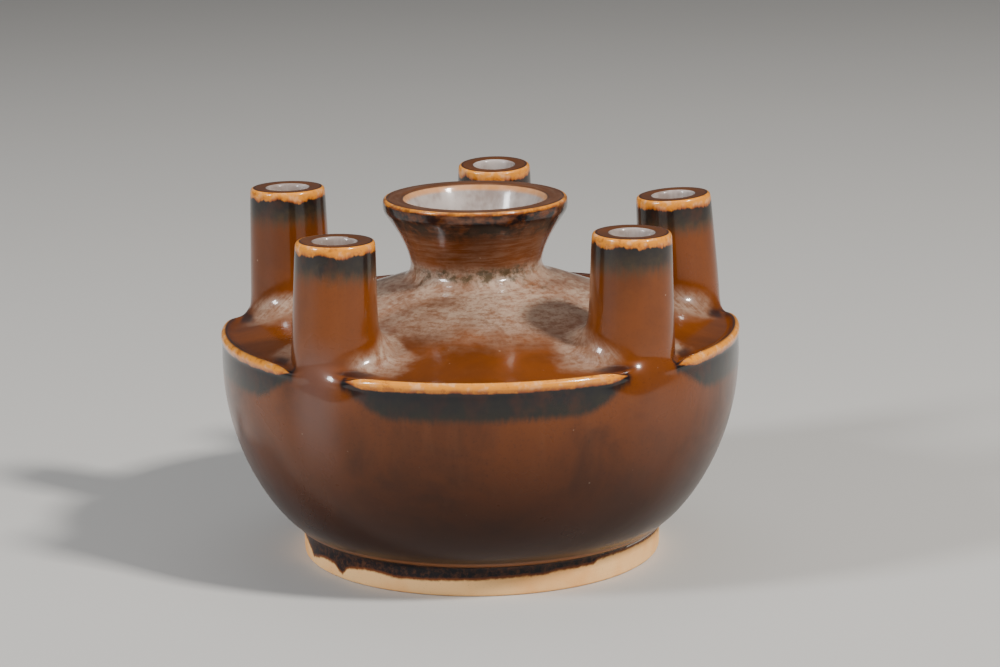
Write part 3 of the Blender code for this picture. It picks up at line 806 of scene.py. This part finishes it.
def keep_masks(pot, shape):
    """Keep on every point, in millimetres, how far it lies from the edges that the glaze breaks over."""
    sizes = shape.pot
    places = point_places(pot)
    x, y, z = places.T
    mouth_run, foot_gap, break_gap = spout_masks(places, shape)
    from_neck = np.hypot(x - sizes.neck_shift, y)
    down_throat = from_neck < neck_out(sizes, z) - 0.5 * sizes.neck_wall
    down_throat &= z < sizes.rim_height - 0.3 * sizes.lip_rounding
    on_top = np.maximum(0.0, sizes.lip_radius - from_neck) * (z > sizes.rim_height - sizes.lip_rounding)
    lip_run = np.where(
        down_throat, z - sizes.rim_height - sizes.lip_flat - sizes.lip_rounding, sizes.rim_height - z - on_top
    )
    lip_run = np.where(from_neck < 1.3 * sizes.lip_radius, lip_run, FAR * MM)
    under = sizes.ridge_height - z
    inwards = np.maximum(0.0, sizes.ridge_radius - sizes.ridge_rounding - np.hypot(x, y))
    ridge_run = np.where(under > 0.0, under, under - inwards)
    azimuth = np.degrees(np.arctan2(x - sizes.foot_shift, -y))
    glaze_run = z - MM * np.interp(azimuth, *np.array(GLAZE_EDGE).T)
    masks = {
        "mouth_run": mouth_run,
        "lip_run": lip_run,
        "ridge_run": ridge_run,
        "break_gap": break_gap,
        "foot_gap": foot_gap,
        "neck_gap": from_neck - sizes.waist_radius,
        "glaze_run": glaze_run,
        "rise": z - lid_heights(shape, np.hypot(x, y)),
        "reach": np.hypot(x, y),
    }
    for name, values in masks.items():
        layer = pot.data.attributes.new(name, "FLOAT", "POINT")
        layer.data.foreach_set("value", (values / MM).astype(np.float32))


def sort_faces(pot, shape):
    """Give each face its finish: 0 the brown glaze, 1 the bare clay underneath, 2 the thin glaze inside."""
    sizes, tubes = shape.pot, shape.tubes
    middles = np.empty(3 * len(pot.data.polygons))
    pot.data.polygons.foreach_get("center", middles)
    middles = middles.reshape(-1, 3)
    x, y, z = middles.T
    radius = np.hypot(x, y)
    finish = np.zeros(len(z), dtype=np.int32)
    finish[(z < sizes.recess + 0.2 * sizes.floor) & (radius < sizes.foot_radius - 1.5 * sizes.foot_edge)] = 1
    heights = np.linspace(0.0, sizes.ridge_height, PROFILE_SAMPLES)
    walls = np.interp(z, heights, [shape.wall_radius(height) for height in heights])
    lids = lid_heights(shape, radius)
    inside = (z > sizes.recess + 0.5 * sizes.floor) & (radius < walls - 0.6 * sizes.wall)
    inside &= z < lids - 0.6 * sizes.wall
    from_neck = np.hypot(x - sizes.neck_shift, y)
    throat = (from_neck < neck_out(sizes, z) - 0.5 * sizes.neck_wall) & (z > sizes.ridge_height)
    inside |= throat & (z < sizes.rim_height - 2.0 * sizes.lip_rounding)
    for spout in shape.spouts:
        aside, drop = beside_spout(spout, middles)
        in_bore = (aside < tubes.bore_radius + tubes.bore_rounding) & (drop > 2.0 * tubes.bore_rounding)
        inside |= in_bore & (z > sizes.belly_height)
    finish[inside] = 2
    pot.data.polygons.foreach_set("material_index", finish)


class Shading:
    """Short ways to add and join the nodes of one tree; masks and places are in millimetres."""

    def __init__(self, tree):
        self.tree = tree
        self.objects = self.node("TexCoord").outputs["Object"]

    def node(self, kind, entries=(), **settings):
        """A new node with some of its settings, and what its inputs get, by name or number."""
        node = self.tree.nodes.new("ShaderNode" + kind)
        for name, value in settings.items():
            setattr(node, name, value)
        for key, value in dict(entries).items():
            self.join(value, node.inputs[key])
        return node

    def join(self, value, socket):
        """Join a socket, or set a plain value."""
        if isinstance(value, bpy.types.NodeSocket):
            self.tree.links.new(value, socket)
        elif value is not None:
            if socket.type == "RGBA" and len(value) == 3:
                value = (*value, 1.0)
            socket.default_value = value

    def math(self, operation, first, second):
        """One sum of two numbers."""
        return self.node("Math", {0: first, 1: second}, operation=operation).outputs[0]

    def plus(self, first, second):
        """One number added to another."""
        return self.math("ADD", first, second)

    def minus(self, first, second):
        """One number taken from another."""
        return self.math("SUBTRACT", first, second)

    def times(self, *factors):
        """Product of some numbers."""
        return reduce(lambda product, factor: self.math("MULTIPLY", product, factor), factors)

    def swing(self, clouds, reach):
        """Cloudy values moved so that they swing about 0."""
        return self.times(self.minus(clouds, 0.5), reach)

    def vector(self, operation, first, second=None):
        """One sum of vectors."""
        other = "Scale" if operation == "SCALE" else 1
        return self.node("VectorMath", {0: first, other: second}, operation=operation).outputs[0]

    def blend(self, share, first, second):
        """Mix of two colours."""
        return self.node("Mix", {0: share, 6: first, 7: second}, data_type="RGBA").outputs[2]

    def between(self, share, first, second):
        """Mix of two numbers."""
        return self.node("Mix", {0: share, 2: first, 3: second}).outputs[0]

    def span(self, value, low, high, start=0.0, end=1.0):
        """Ease a value from start to end while it goes from low to high."""
        entries = {0: value, 1: low, 2: high, 3: start, 4: end}
        return self.node("MapRange", entries, interpolation_type="SMOOTHSTEP").outputs[0]

    def fade(self, value, low, high, start=1.0):
        """Ease from start to nothing while a value goes from low to high."""
        return self.span(value, low, high, start, 0.0)

    def window(self, value, low, full, past, high, top=1.0):
        """Ease from nothing at low up to full, and from past down to nothing at high."""
        return self.times(self.span(value, low, full), self.fade(value, past, high, top))

    def noise(self, scale, detail=3.0, roughness=0.5, distortion=0.0, vector=None):
        """Cloudy values from 0 to 1, with so many clouds to the metre."""
        names = ("Vector", "Scale", "Detail", "Roughness", "Distortion")
        values = (vector or self.objects, scale, detail, roughness, distortion)
        return self.node("TexNoise", zip(names, values)).outputs[0]

    def streaks(self, across, up, detail=3.0, roughness=0.6):
        """Clouds drawn out up and down the pot, with so many to the metre across and up."""
        squeezed = self.vector("MULTIPLY", self.objects, (across, across, up))
        return self.noise(1.0, detail, roughness, vector=squeezed)

    def wheel_lines(self, around, across):
        """Clouds drawn out round the pot, as the wheel left them."""
        flat = self.vector("MULTIPLY", self.objects, (1.0, 1.0, 0.0))
        way = self.vector("SCALE", self.vector("NORMALIZE", flat), around)
        reach = self.node("VectorMath", {0: flat}, operation="LENGTH").outputs["Value"]
        height = self.node("SeparateXYZ", {0: self.objects}).outputs[2]
        level = self.node("CombineXYZ", {2: self.times(self.plus(reach, height), across)}).outputs[0]
        return self.noise(1.0, 4.0, 0.7, vector=self.vector("ADD", way, level))

    def places(self):
        """How far to the right, back and up each point lies, in millimetres."""
        return self.node("SeparateXYZ", {0: self.vector("SCALE", self.objects, 1.0 / MM)}).outputs

    def mask(self, name):
        """A mask kept on the points."""
        return self.node("Attribute", attribute_name=name).outputs["Fac"]

    def group(self, tree, **entries):
        """The outputs of a shared effect, with its inputs given by name."""
        node = self.node("Group", node_tree=tree)
        for name, value in entries.items():
            self.join(value, node.inputs[name.capitalize()])
        return node.outputs


def new_group(name, values, colours, outputs):
    """An empty shared effect, its inputs and the sockets that its results go to."""
    tree = bpy.data.node_groups.new(name, "ShaderNodeTree")
    for labels, way in ((values + colours, "INPUT"), (outputs, "OUTPUT")):
        for label in labels:
            kind = "NodeSocketColor" if label in (*colours, "Colour") else "NodeSocketFloat"
            tree.interface.new_socket(name=label, in_out=way, socket_type=kind)
    return Shading(tree), tree.nodes.new("NodeGroupInput").outputs


def close_group(shade, **results):
    """Join a shared effect's results to its outputs."""
    out = shade.tree.nodes.new("NodeGroupOutput")
    for name, result in results.items():
        shade.join(result, out.inputs[name])
    return shade.tree


def clay_effect():
    """Bare fired clay: buff, warmer in patches, finely gritty and turned."""
    shade, given = new_group("fired_clay", (), ("Pale", "Warm"), ("Colour", "Height"))
    patches = shade.span(shade.noise(60.0, roughness=0.6), 0.42, 0.68)
    clay = shade.blend(patches, given["Pale"], given["Warm"])
    grit = shade.noise(2600.0, 2.0, 0.7)
    clay = shade.blend(shade.span(grit, 0.62, 0.74, end=0.35), clay, DARK_GRIT)
    turned = shade.times(shade.streaks(40.0, 1600.0, 2.0), 0.6)
    return close_group(shade, Colour=clay, Height=shade.plus(turned, shade.times(grit, 0.4)))


def band_effect():
    """Tan over an edge down to a scalloped line, then a blue-black band that fades in streaks."""
    values = ("Run", "Top", "Start", "Ragged", "End", "Fade", "Keep")
    shade, given = new_group("broken_edge", values, ("Ground", "Tan", "Rust", "Blue", "Green"), ("Colour",))
    run, start, fade, keep = (given[name] for name in ("Run", "Start", "Fade", "Keep"))
    blots = shade.streaks(420.0, 420.0)
    soft = shade.streaks(170.0, 130.0)

    scallops = shade.times(shade.streaks(300.0, 60.0, 1.0, 0.5), 1.4)
    comb = shade.times(shade.streaks(1700.0, 240.0, 2.0), 0.5)
    torn = shade.times(shade.minus(shade.plus(scallops, comb), 0.95), given["Ragged"])
    below = shade.minus(shade.plus(run, torn), start)
    rusty = shade.times(shade.span(below, -1.3, 0.0), shade.span(blots, 0.35, 0.6, 0.25, 0.95))
    gold = shade.blend(shade.span(blots, 0.5, 0.68, end=0.45), given["Tan"], PINK_TAN)
    gold = shade.blend(shade.fade(blots, 0.3, 0.44, 0.55), gold, given["Rust"])
    gold = shade.blend(rusty, gold, given["Rust"])

    wander = shade.times(shade.minus(shade.streaks(900.0, 200.0, roughness=0.7), 0.5), shade.times(fade, 0.8))
    late = shade.minus(shade.plus(run, wander), given["End"])
    thin = shade.fade(late, shade.times(fade, -1.0), 0.0)
    thin = shade.times(thin, shade.span(soft, 0.34, 0.56, 0.82))
    drift = shade.times(shade.minus(shade.plus(soft, blots), 1.0), 7.0)
    greener = shade.span(shade.plus(run, drift), start, given["End"], 0.15, 0.85)
    deep = shade.blend(greener, given["Blue"], given["Green"])

    past = shade.minus(run, given["Top"])
    outside = shade.times(shade.span(past, 0.0, 0.3), keep)
    line = shade.times(shade.window(past, -0.6, -0.15, 0.0, 0.2), keep, 0.7)
    glaze = shade.blend(shade.times(thin, outside), given["Ground"], deep)
    glaze = shade.blend(shade.times(shade.fade(below, -0.25, 0.25), outside), glaze, gold)
    return close_group(shade, Colour=shade.blend(line, glaze, given["Blue"]))


def mottle_effect():
    """Brown glaze: clouded between two browns, with faint streaks, darker pores and pale dust specks."""
    outputs = ("Colour", "Roughness", "Height")
    shade, given = new_group("mottled_glaze", (), ("Brown", "Dark", "Light"), outputs)
    clouds = shade.noise(42.0, 4.0, 0.62, 0.5)
    glaze = shade.blend(shade.span(clouds, 0.3, 0.62, 0.35), given["Dark"], given["Brown"])
    pale = shade.span(shade.streaks(330.0, 38.0, roughness=0.55), 0.5, 0.8, end=0.16)
    glaze = shade.blend(pale, glaze, given["Light"])
    grain = shade.noise(1700.0, roughness=0.7)
    glaze = shade.blend(shade.span(grain, 0.52, 0.72, end=0.3), glaze, given["Dark"])
    glaze = shade.blend(shade.span(shade.noise(780.0, 1.0), 0.79, 0.82, end=0.5), glaze, PALE_DUST)
    ripple = shade.times(shade.noise(110.0, 2.0), 0.9)
    height = shade.plus(ripple, shade.times(grain, 0.03))
    roughness = shade.span(clouds, 0.3, 0.75, 0.34, 0.26)
    return close_group(shade, Colour=glaze, Roughness=roughness, Height=height)


def throat_effect():
    """Thin glaze of the throat, the bores and the inside: mauve grey over buff, with fine pale streaks."""
    shade, given = new_group("thin_pale_glaze", (), ("Pale", "Dull"), ("Colour", "Height"))
    clouds = shade.times(shade.noise(130.0, roughness=0.6), 0.8)
    share = shade.plus(clouds, shade.times(shade.streaks(900.0, 90.0), 0.2))
    glaze = shade.blend(shade.span(share, 0.36, 0.62), given["Dull"], given["Pale"])
    return close_group(shade, Colour=glaze, Height=shade.times(share, 0.3))


def new_finish(name, **values):
    """A new material with plain values on its shader, its shading and the shader itself."""
    material = bpy.data.materials.new(name)
    material.use_nodes = True
    shader = material.node_tree.nodes["Principled BSDF"]
    for socket, value in values.items():
        shader.inputs[socket.replace("_", " ")].default_value = value
    return material, Shading(material.node_tree), shader


def lay_bump(shade, shader, height, distance):
    """Relief of the surface, from heights from 0 to 1."""
    bump = shade.node("Bump", {"Distance": distance, "Height": height})
    shade.join(bump.outputs[0], shader.inputs["Normal"])


def make_clay(colours, effects):
    """Bare clay of the foot's underside."""
    material, shade, shader = new_finish("fired_clay", Roughness=CLAY_ROUGHNESS, **FIRED)
    clay = shade.group(effects["clay"], pale=colours.clay, warm=colours.warm_clay)
    shade.join(clay["Colour"], shader.inputs["Base Color"])
    lay_bump(shade, shader, clay["Height"], 0.05 * MM)
    return material


def make_throat(colours, effects):
    """Thin glaze inside the neck, the bores and the body."""
    material, shade, shader = new_finish("thin_pale_glaze", Roughness=0.32, Coat_Weight=0.7, **FIRED)
    pale = shade.group(effects["throat"], pale=colours.throat, dull=colours.dull_throat)
    shade.join(pale["Colour"], shader.inputs["Base Color"])
    lay_bump(shade, shader, pale["Height"], 0.08 * MM)
    return material


def haze_and_sheen_mask(shade):
    """Where the glaze is milky, partly painted sheen: round the neck and on the inner side of each spout's
    foot.
    """
    from_neck = shade.mask("neck_gap")
    patches = shade.noise(75.0, 4.0, 0.6, 0.4)
    wander = shade.swing(patches, 26.0)
    by_neck = shade.fade(shade.plus(from_neck, wander), 12.0, 30.0)
    by_spout = shade.fade(shade.plus(shade.mask("foot_gap"), wander), 2.0, 10.0)
    brushed = shade.times(shade.wheel_lines(7.0, 1300.0), 0.5)
    texture = shade.plus(brushed, shade.times(shade.noise(800.0, roughness=0.75), 0.5))
    share = shade.times(
        shade.math("MAXIMUM", by_neck, by_spout),
        shade.span(patches, 0.36, 0.54, 0.5),
        shade.span(texture, 0.38, 0.58, 0.4),
        shade.fade(shade.plus(shade.mask("rise"), shade.swing(patches, 6.0)), 1.5, 5.5),
        shade.fade(shade.mask("reach"), 51.5, 56.0),
    )
    lines = shade.span(shade.wheel_lines(2.5, 1000.0), 0.4, 0.66, end=0.2)
    on_neck = shade.times(shade.fade(from_neck, 6.0, 8.0), lines)
    return shade.times(shade.math("MAXIMUM", share, on_neck), 0.9)


def lay_ground(shade, colours, ground, haze_and_sheen):
    """Brown glaze, darker low down (partly painted shade), milky with painted sheen on the shoulder, olive
    round the neck, and a pinkish-grey painted reflection.
    """
    right, back, up = shade.places()
    # Darker low down: partly glaze that runs thick, partly painted shade under the belly.
    ground = shade.blend(shade.span(up, 8.0, 58.0, 1.0, 0.1), ground, colours.dark_brown)
    ground = shade.blend(shade.span(up, 50.0, 53.0, end=0.35), ground, colours.brown)
    # Milky glaze round the neck and the spouts' feet, partly painted sheen.
    ground = shade.blend(haze_and_sheen, ground, colours.haze_and_sheen)
    neck_rise = shade.plus(shade.mask("rise"), shade.times(shade.noise(260.0, roughness=0.65), 5.0))
    collar = shade.times(
        shade.window(neck_rise, 2.8, 4.0, 5.0, 7.0),
        shade.fade(shade.mask("neck_gap"), 5.5, 8.0),
        shade.span(back, -2.0, -12.0),
        shade.span(shade.noise(330.0, 4.0, 0.75), 0.4, 0.6, 0.1, 0.9),
    )
    ground = shade.blend(collar, ground, colours.olive)
    # Painted reflection: a pinkish-grey sheen of the left light on the belly's left side, below the left
    # spouts.
    painted_reflection = shade.times(
        shade.fade(shade.mask("break_gap"), -5.0, 3.0, 0.6),
        shade.window(up, 26.0, 44.0, 52.0, 62.0),
        shade.span(right, -22.0, 10.0, 1.0, 0.15),
    )
    return shade.blend(painted_reflection, ground, colours.mauve_reflection)


def lay_creases(shade, colours, ground):
    """Blue-black at the ridge's ends and along the crease beside each spout, and olive rings on top."""
    by_ridge = shade.mask("ridge_run")
    keep = shade.span(shade.mask("break_gap"), 0.0, 3.0)
    ends = shade.window(by_ridge, -3.5, -1.0, 0.6, 3.0, 0.8)
    ends = shade.times(shade.window(keep, 0.0, 0.35, 0.5, 1.0), ends)
    beside = shade.window(shade.mask("foot_gap"), 0.6, 2.0, 3.5, 7.0, 0.75)
    crease = shade.times(shade.window(by_ridge, -7.5, -5.0, -3.0, -1.8), beside)
    for share in (ends, crease):
        ground = shade.blend(share, ground, colours.blue_black)
    on_ring = shade.math("MINIMUM", shade.mask("mouth_run"), shade.mask("lip_run"))
    return shade.blend(shade.fade(on_ring, -1.3, -0.7, 0.3), ground, colours.olive)


def lay_bands(shade, colours, effects, ground):
    """Tan and blue-black bands below the ridge, the mouths and the lip."""
    names = ("keep", "top", "start", "ragged", "end", "fade", "green")
    gap_run = shade.mask("break_gap")
    blotchy = shade.span(shade.streaks(210.0, 300.0, roughness=0.65), 0.36, 0.56, 0.35)
    ridge_keep = shade.span(gap_run, -0.6, 1.2)
    ridge_top = shade.span(gap_run, -0.5, 7.0, 0.2, -1.3)
    ridge_start = shade.span(gap_run, -0.5, 7.0, -0.2, 1.0)
    ridge_end = shade.span(gap_run, -3.0, 14.0, 1.5, 8.4)
    edges = {
        "ridge_run": (ridge_keep, ridge_top, ridge_start, 0.5, ridge_end, 2.4, colours.dark_olive),
        "mouth_run": (1.0, -0.75, 2.1, 2.0, 9.8, 5.0, colours.olive),
        "lip_run": (blotchy, -0.8, 0.75, 0.5, 8.2, 3.5, colours.dark_olive),
    }
    for mask, settings in edges.items():
        entries = dict(zip(names, settings), run=shade.mask(mask), ground=ground)
        entries.update(tan=colours.tan, rust=colours.rust, blue=colours.blue_black)
        ground = shade.group(effects["band"], **entries)["Colour"]
    return ground


def lay_inside(shade, colours, effects, ground):
    """Thin pale glaze down the throat and the bores, under a dark line, with a golden edge to the throat."""
    lip_run = shade.mask("lip_run")
    pale = shade.group(effects["throat"], pale=colours.throat, dull=colours.dull_throat)
    down_neck = shade.fade(lip_run, -4.9, -4.2)
    down = shade.math("MAXIMUM", shade.fade(shade.mask("mouth_run"), -4.3, -3.6), down_neck)
    golden = shade.times(shade.span(lip_run, -6.3, -5.4, end=0.6), down_neck)
    inner = shade.blend(golden, pale["Colour"], colours.tan)
    inner_edge = shade.times(down, shade.minus(1.0, down), 3.6)
    return shade.blend(inner_edge, shade.blend(down, ground, inner), colours.dark_brown)


def lay_foot(shade, colours, clay, ground, up):
    """Thick glaze on the foot below a strip of painted highlight, then bare clay, and the share that is bare.
    """
    run = shade.plus(shade.mask("glaze_run"), shade.swing(shade.noise(900.0, 2.0, 0.6), 0.7))
    bare = shade.fade(run, -0.12, 0.12)
    thick = shade.times(shade.fade(up, 6.6, 7.2, 0.9), shade.span(run, 0.0, 0.4))
    scum = shade.span(shade.noise(700.0, 4.0, 0.7), 0.42, 0.7, end=0.3)
    ground = shade.blend(thick, ground, shade.blend(scum, colours.blue_black, colours.light_brown))
    # Painted highlight: a pale strip on the fillet just above the foot, where the glaze catches the light.
    ground = shade.blend(shade.window(up, 6.9, 7.3, 8.0, 8.6, 0.6), ground, colours.light_brown)
    ground = shade.blend(bare, ground, clay)
    return shade.blend(shade.window(run, -0.5, 0.0, 0.15, 0.7, 0.8), ground, colours.burnt), bare


def make_glaze(colours, effects):
    """Brown glaze of the outside, breaking to tan on every edge, milky with painted sheen round the neck,
    bare on the foot.
    """
    material, shade, shader = new_finish("brown_glaze", **FIRED)
    browns = {"brown": colours.brown, "dark": colours.dark_brown, "light": colours.light_brown}
    glaze = shade.group(effects["mottle"], **browns)
    clay = shade.group(effects["clay"], pale=colours.clay, warm=colours.warm_clay)
    haze_and_sheen = haze_and_sheen_mask(shade)
    up = shade.places()[2]
    ground = lay_ground(shade, colours, glaze["Colour"], haze_and_sheen)
    ground = lay_creases(shade, colours, ground)
    ground = lay_bands(shade, colours, effects, ground)
    ground = lay_inside(shade, colours, effects, ground)
    ground, bare = lay_foot(shade, colours, clay["Colour"], ground, up)
    shade.join(ground, shader.inputs["Base Color"])
    coat = shade.times(shade.span(up, 15.0, 52.0, 0.1, 0.8), shade.minus(1.0, bare))
    shade.join(coat, shader.inputs["Coat Weight"])
    worn = shade.plus(glaze["Roughness"], shade.times(haze_and_sheen, 0.15))
    shade.join(shade.between(bare, worn, CLAY_ROUGHNESS), shader.inputs["Roughness"])
    lay_bump(shade, shader, shade.between(bare, glaze["Height"], clay["Height"]), 0.1 * MM)
    return material


def make_floor(studio):
    """Pale floor, faintly clouded, with a shallow step down far from the pot to close its edge."""
    bpy.ops.object.select_all(action="DESELECT")
    bpy.ops.mesh.primitive_grid_add(x_subdivisions=8, y_subdivisions=8, size=studio.floor_size)
    floor = bpy.context.object
    floor.name = floor.data.name = "studio_floor"
    bpy.ops.object.mode_set(mode="EDIT")
    bpy.ops.mesh.select_all(action="SELECT")
    bpy.ops.mesh.region_to_loop()
    bpy.ops.mesh.extrude_edges_move(TRANSFORM_OT_translate={"value": (0.0, 0.0, -FLOOR_STEP)})
    bpy.ops.object.mode_set(mode="OBJECT")
    material, shade, shader = new_finish("pale_floor", Roughness=0.7)
    pale = studio.floor_colour
    dull = [0.94 * level for level in pale]
    shade.join(shade.blend(shade.noise(3.0, roughness=0.6), pale, dull), shader.inputs["Base Color"])
    floor.data.materials.append(material)


def add_light(name, place, size, power, tone):
    """A soft square light that faces the pot."""
    data = bpy.data.lights.new(name, "AREA")
    data.shape = "RECTANGLE"
    data.size, data.size_y = size
    data.energy = power
    data.color = tone
    light = bpy.data.objects.new(name, data)
    bpy.context.scene.collection.objects.link(light)
    light.location = place
    light.rotation_euler = (Vector(LIGHT_AIM) - Vector(place)).to_track_quat("-Z", "Y").to_euler()


def add_camera(studio):
    """The camera, turned by its yaw, pitch and roll."""
    data = bpy.data.cameras.new("camera")
    data.lens = studio.lens
    data.clip_start = 10.0 * MM
    camera = bpy.data.objects.new("camera", data)
    bpy.context.scene.collection.objects.link(camera)
    flat = Vector((sin(studio.yaw), cos(studio.yaw), 0.0))
    forward = flat * cos(studio.pitch) + Vector((0.0, 0.0, sin(studio.pitch)))
    level = Vector((cos(studio.yaw), -sin(studio.yaw), 0.0))
    upward = level.cross(forward)
    right = level * cos(studio.roll) + upward * sin(studio.roll)
    above = upward * cos(studio.roll) - level * sin(studio.roll)
    turned = Matrix((right, above, -forward)).transposed().to_4x4()
    camera.matrix_world = Matrix.Translation(Vector(studio.place)) @ turned
    bpy.context.scene.camera = camera


class VESSEL_OT_pot(bpy.types.Operator):
    """Throw, smooth and glaze the pot with its five spouts"""

    bl_idname = "vessel.pot"
    bl_label = "Make the pot"

    def execute(self, context):
        scene = context.scene
        bpy.ops.object.select_all(action="DESELECT")
        shape = PotShape(scene.vessel_pot, scene.vessel_spouts)
        pot = make_pot(shape)
        keep_masks(pot, shape)
        effects = {
            "clay": clay_effect(),
            "band": band_effect(),
            "mottle": mottle_effect(),
            "throat": throat_effect(),
        }
        for finish in (make_glaze, make_clay, make_throat):
            pot.data.materials.append(finish(scene.vessel_colours, effects))
        sort_faces(pot, shape)
        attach(pot, "root")
        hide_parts("vessel")
        return {"FINISHED"}


class VESSEL_OT_stage(bpy.types.Operator):
    """Lay the pale floor and set up the soft lights and the camera"""

    bl_idname = "vessel.stage"
    bl_label = "Set up the studio"

    def execute(self, context):
        studio = context.scene.vessel_studio
        make_floor(studio)
        for name, place, size, tone in LIGHTS:
            add_light(name + "_light", place, size, getattr(studio, name), tone)
        add_camera(studio)
        world = context.scene.world or bpy.data.worlds.new("room")
        context.scene.world = world
        world.use_nodes = True
        glow = world.node_tree.nodes["Background"]
        glow.inputs["Color"].default_value = ROOM_TONE
        glow.inputs["Strength"].default_value = studio.room
        return {"FINISHED"}


class VESSEL_PT_tools(bpy.types.Panel):
    """Lists the vessel's sizes, colours and steps"""

    bl_idname = "VESSEL_PT_tools"
    bl_label = "Five-spout vessel"
    bl_space_type = "VIEW_3D"
    bl_region_type = "UI"
    bl_category = "Vessel"

    def draw(self, context):
        for settings in SETTINGS:
            group = getattr(context.scene, settings)
            box = self.layout.box()
            box.label(text=settings.replace("vessel_", "").capitalize())
            for name in group.bl_rna.properties.keys():
                if name not in ("rna_type", "name"):
                    box.prop(group, name)
        self.layout.operator("vessel.pot")
        self.layout.operator("vessel.stage")


SETTINGS = {
    "vessel_pot": PotSizes,
    "vessel_spouts": SpoutSizes,
    "vessel_colours": GlazeColours,
    "vessel_studio": StudioSettings,
}
CLASSES = (*SETTINGS.values(), VESSEL_OT_pot, VESSEL_OT_stage, VESSEL_PT_tools)


def register():
    """Make the classes and their settings known to Blender."""
    for kind in CLASSES:
        bpy.utils.register_class(kind)
    for name, kind in SETTINGS.items():
        setattr(bpy.types.Scene, name, bpy.props.PointerProperty(type=kind))


def unregister():
    """Take the classes and their settings out again."""
    for name in SETTINGS:
        delattr(bpy.types.Scene, name)
    for kind in reversed(CLASSES):
        bpy.utils.unregister_class(kind)


def main():
    """Make the vessel and its studio."""
    register()
    bpy.ops.vessel.pot()
    bpy.ops.vessel.stage()


if __name__ == "__main__":
    main()
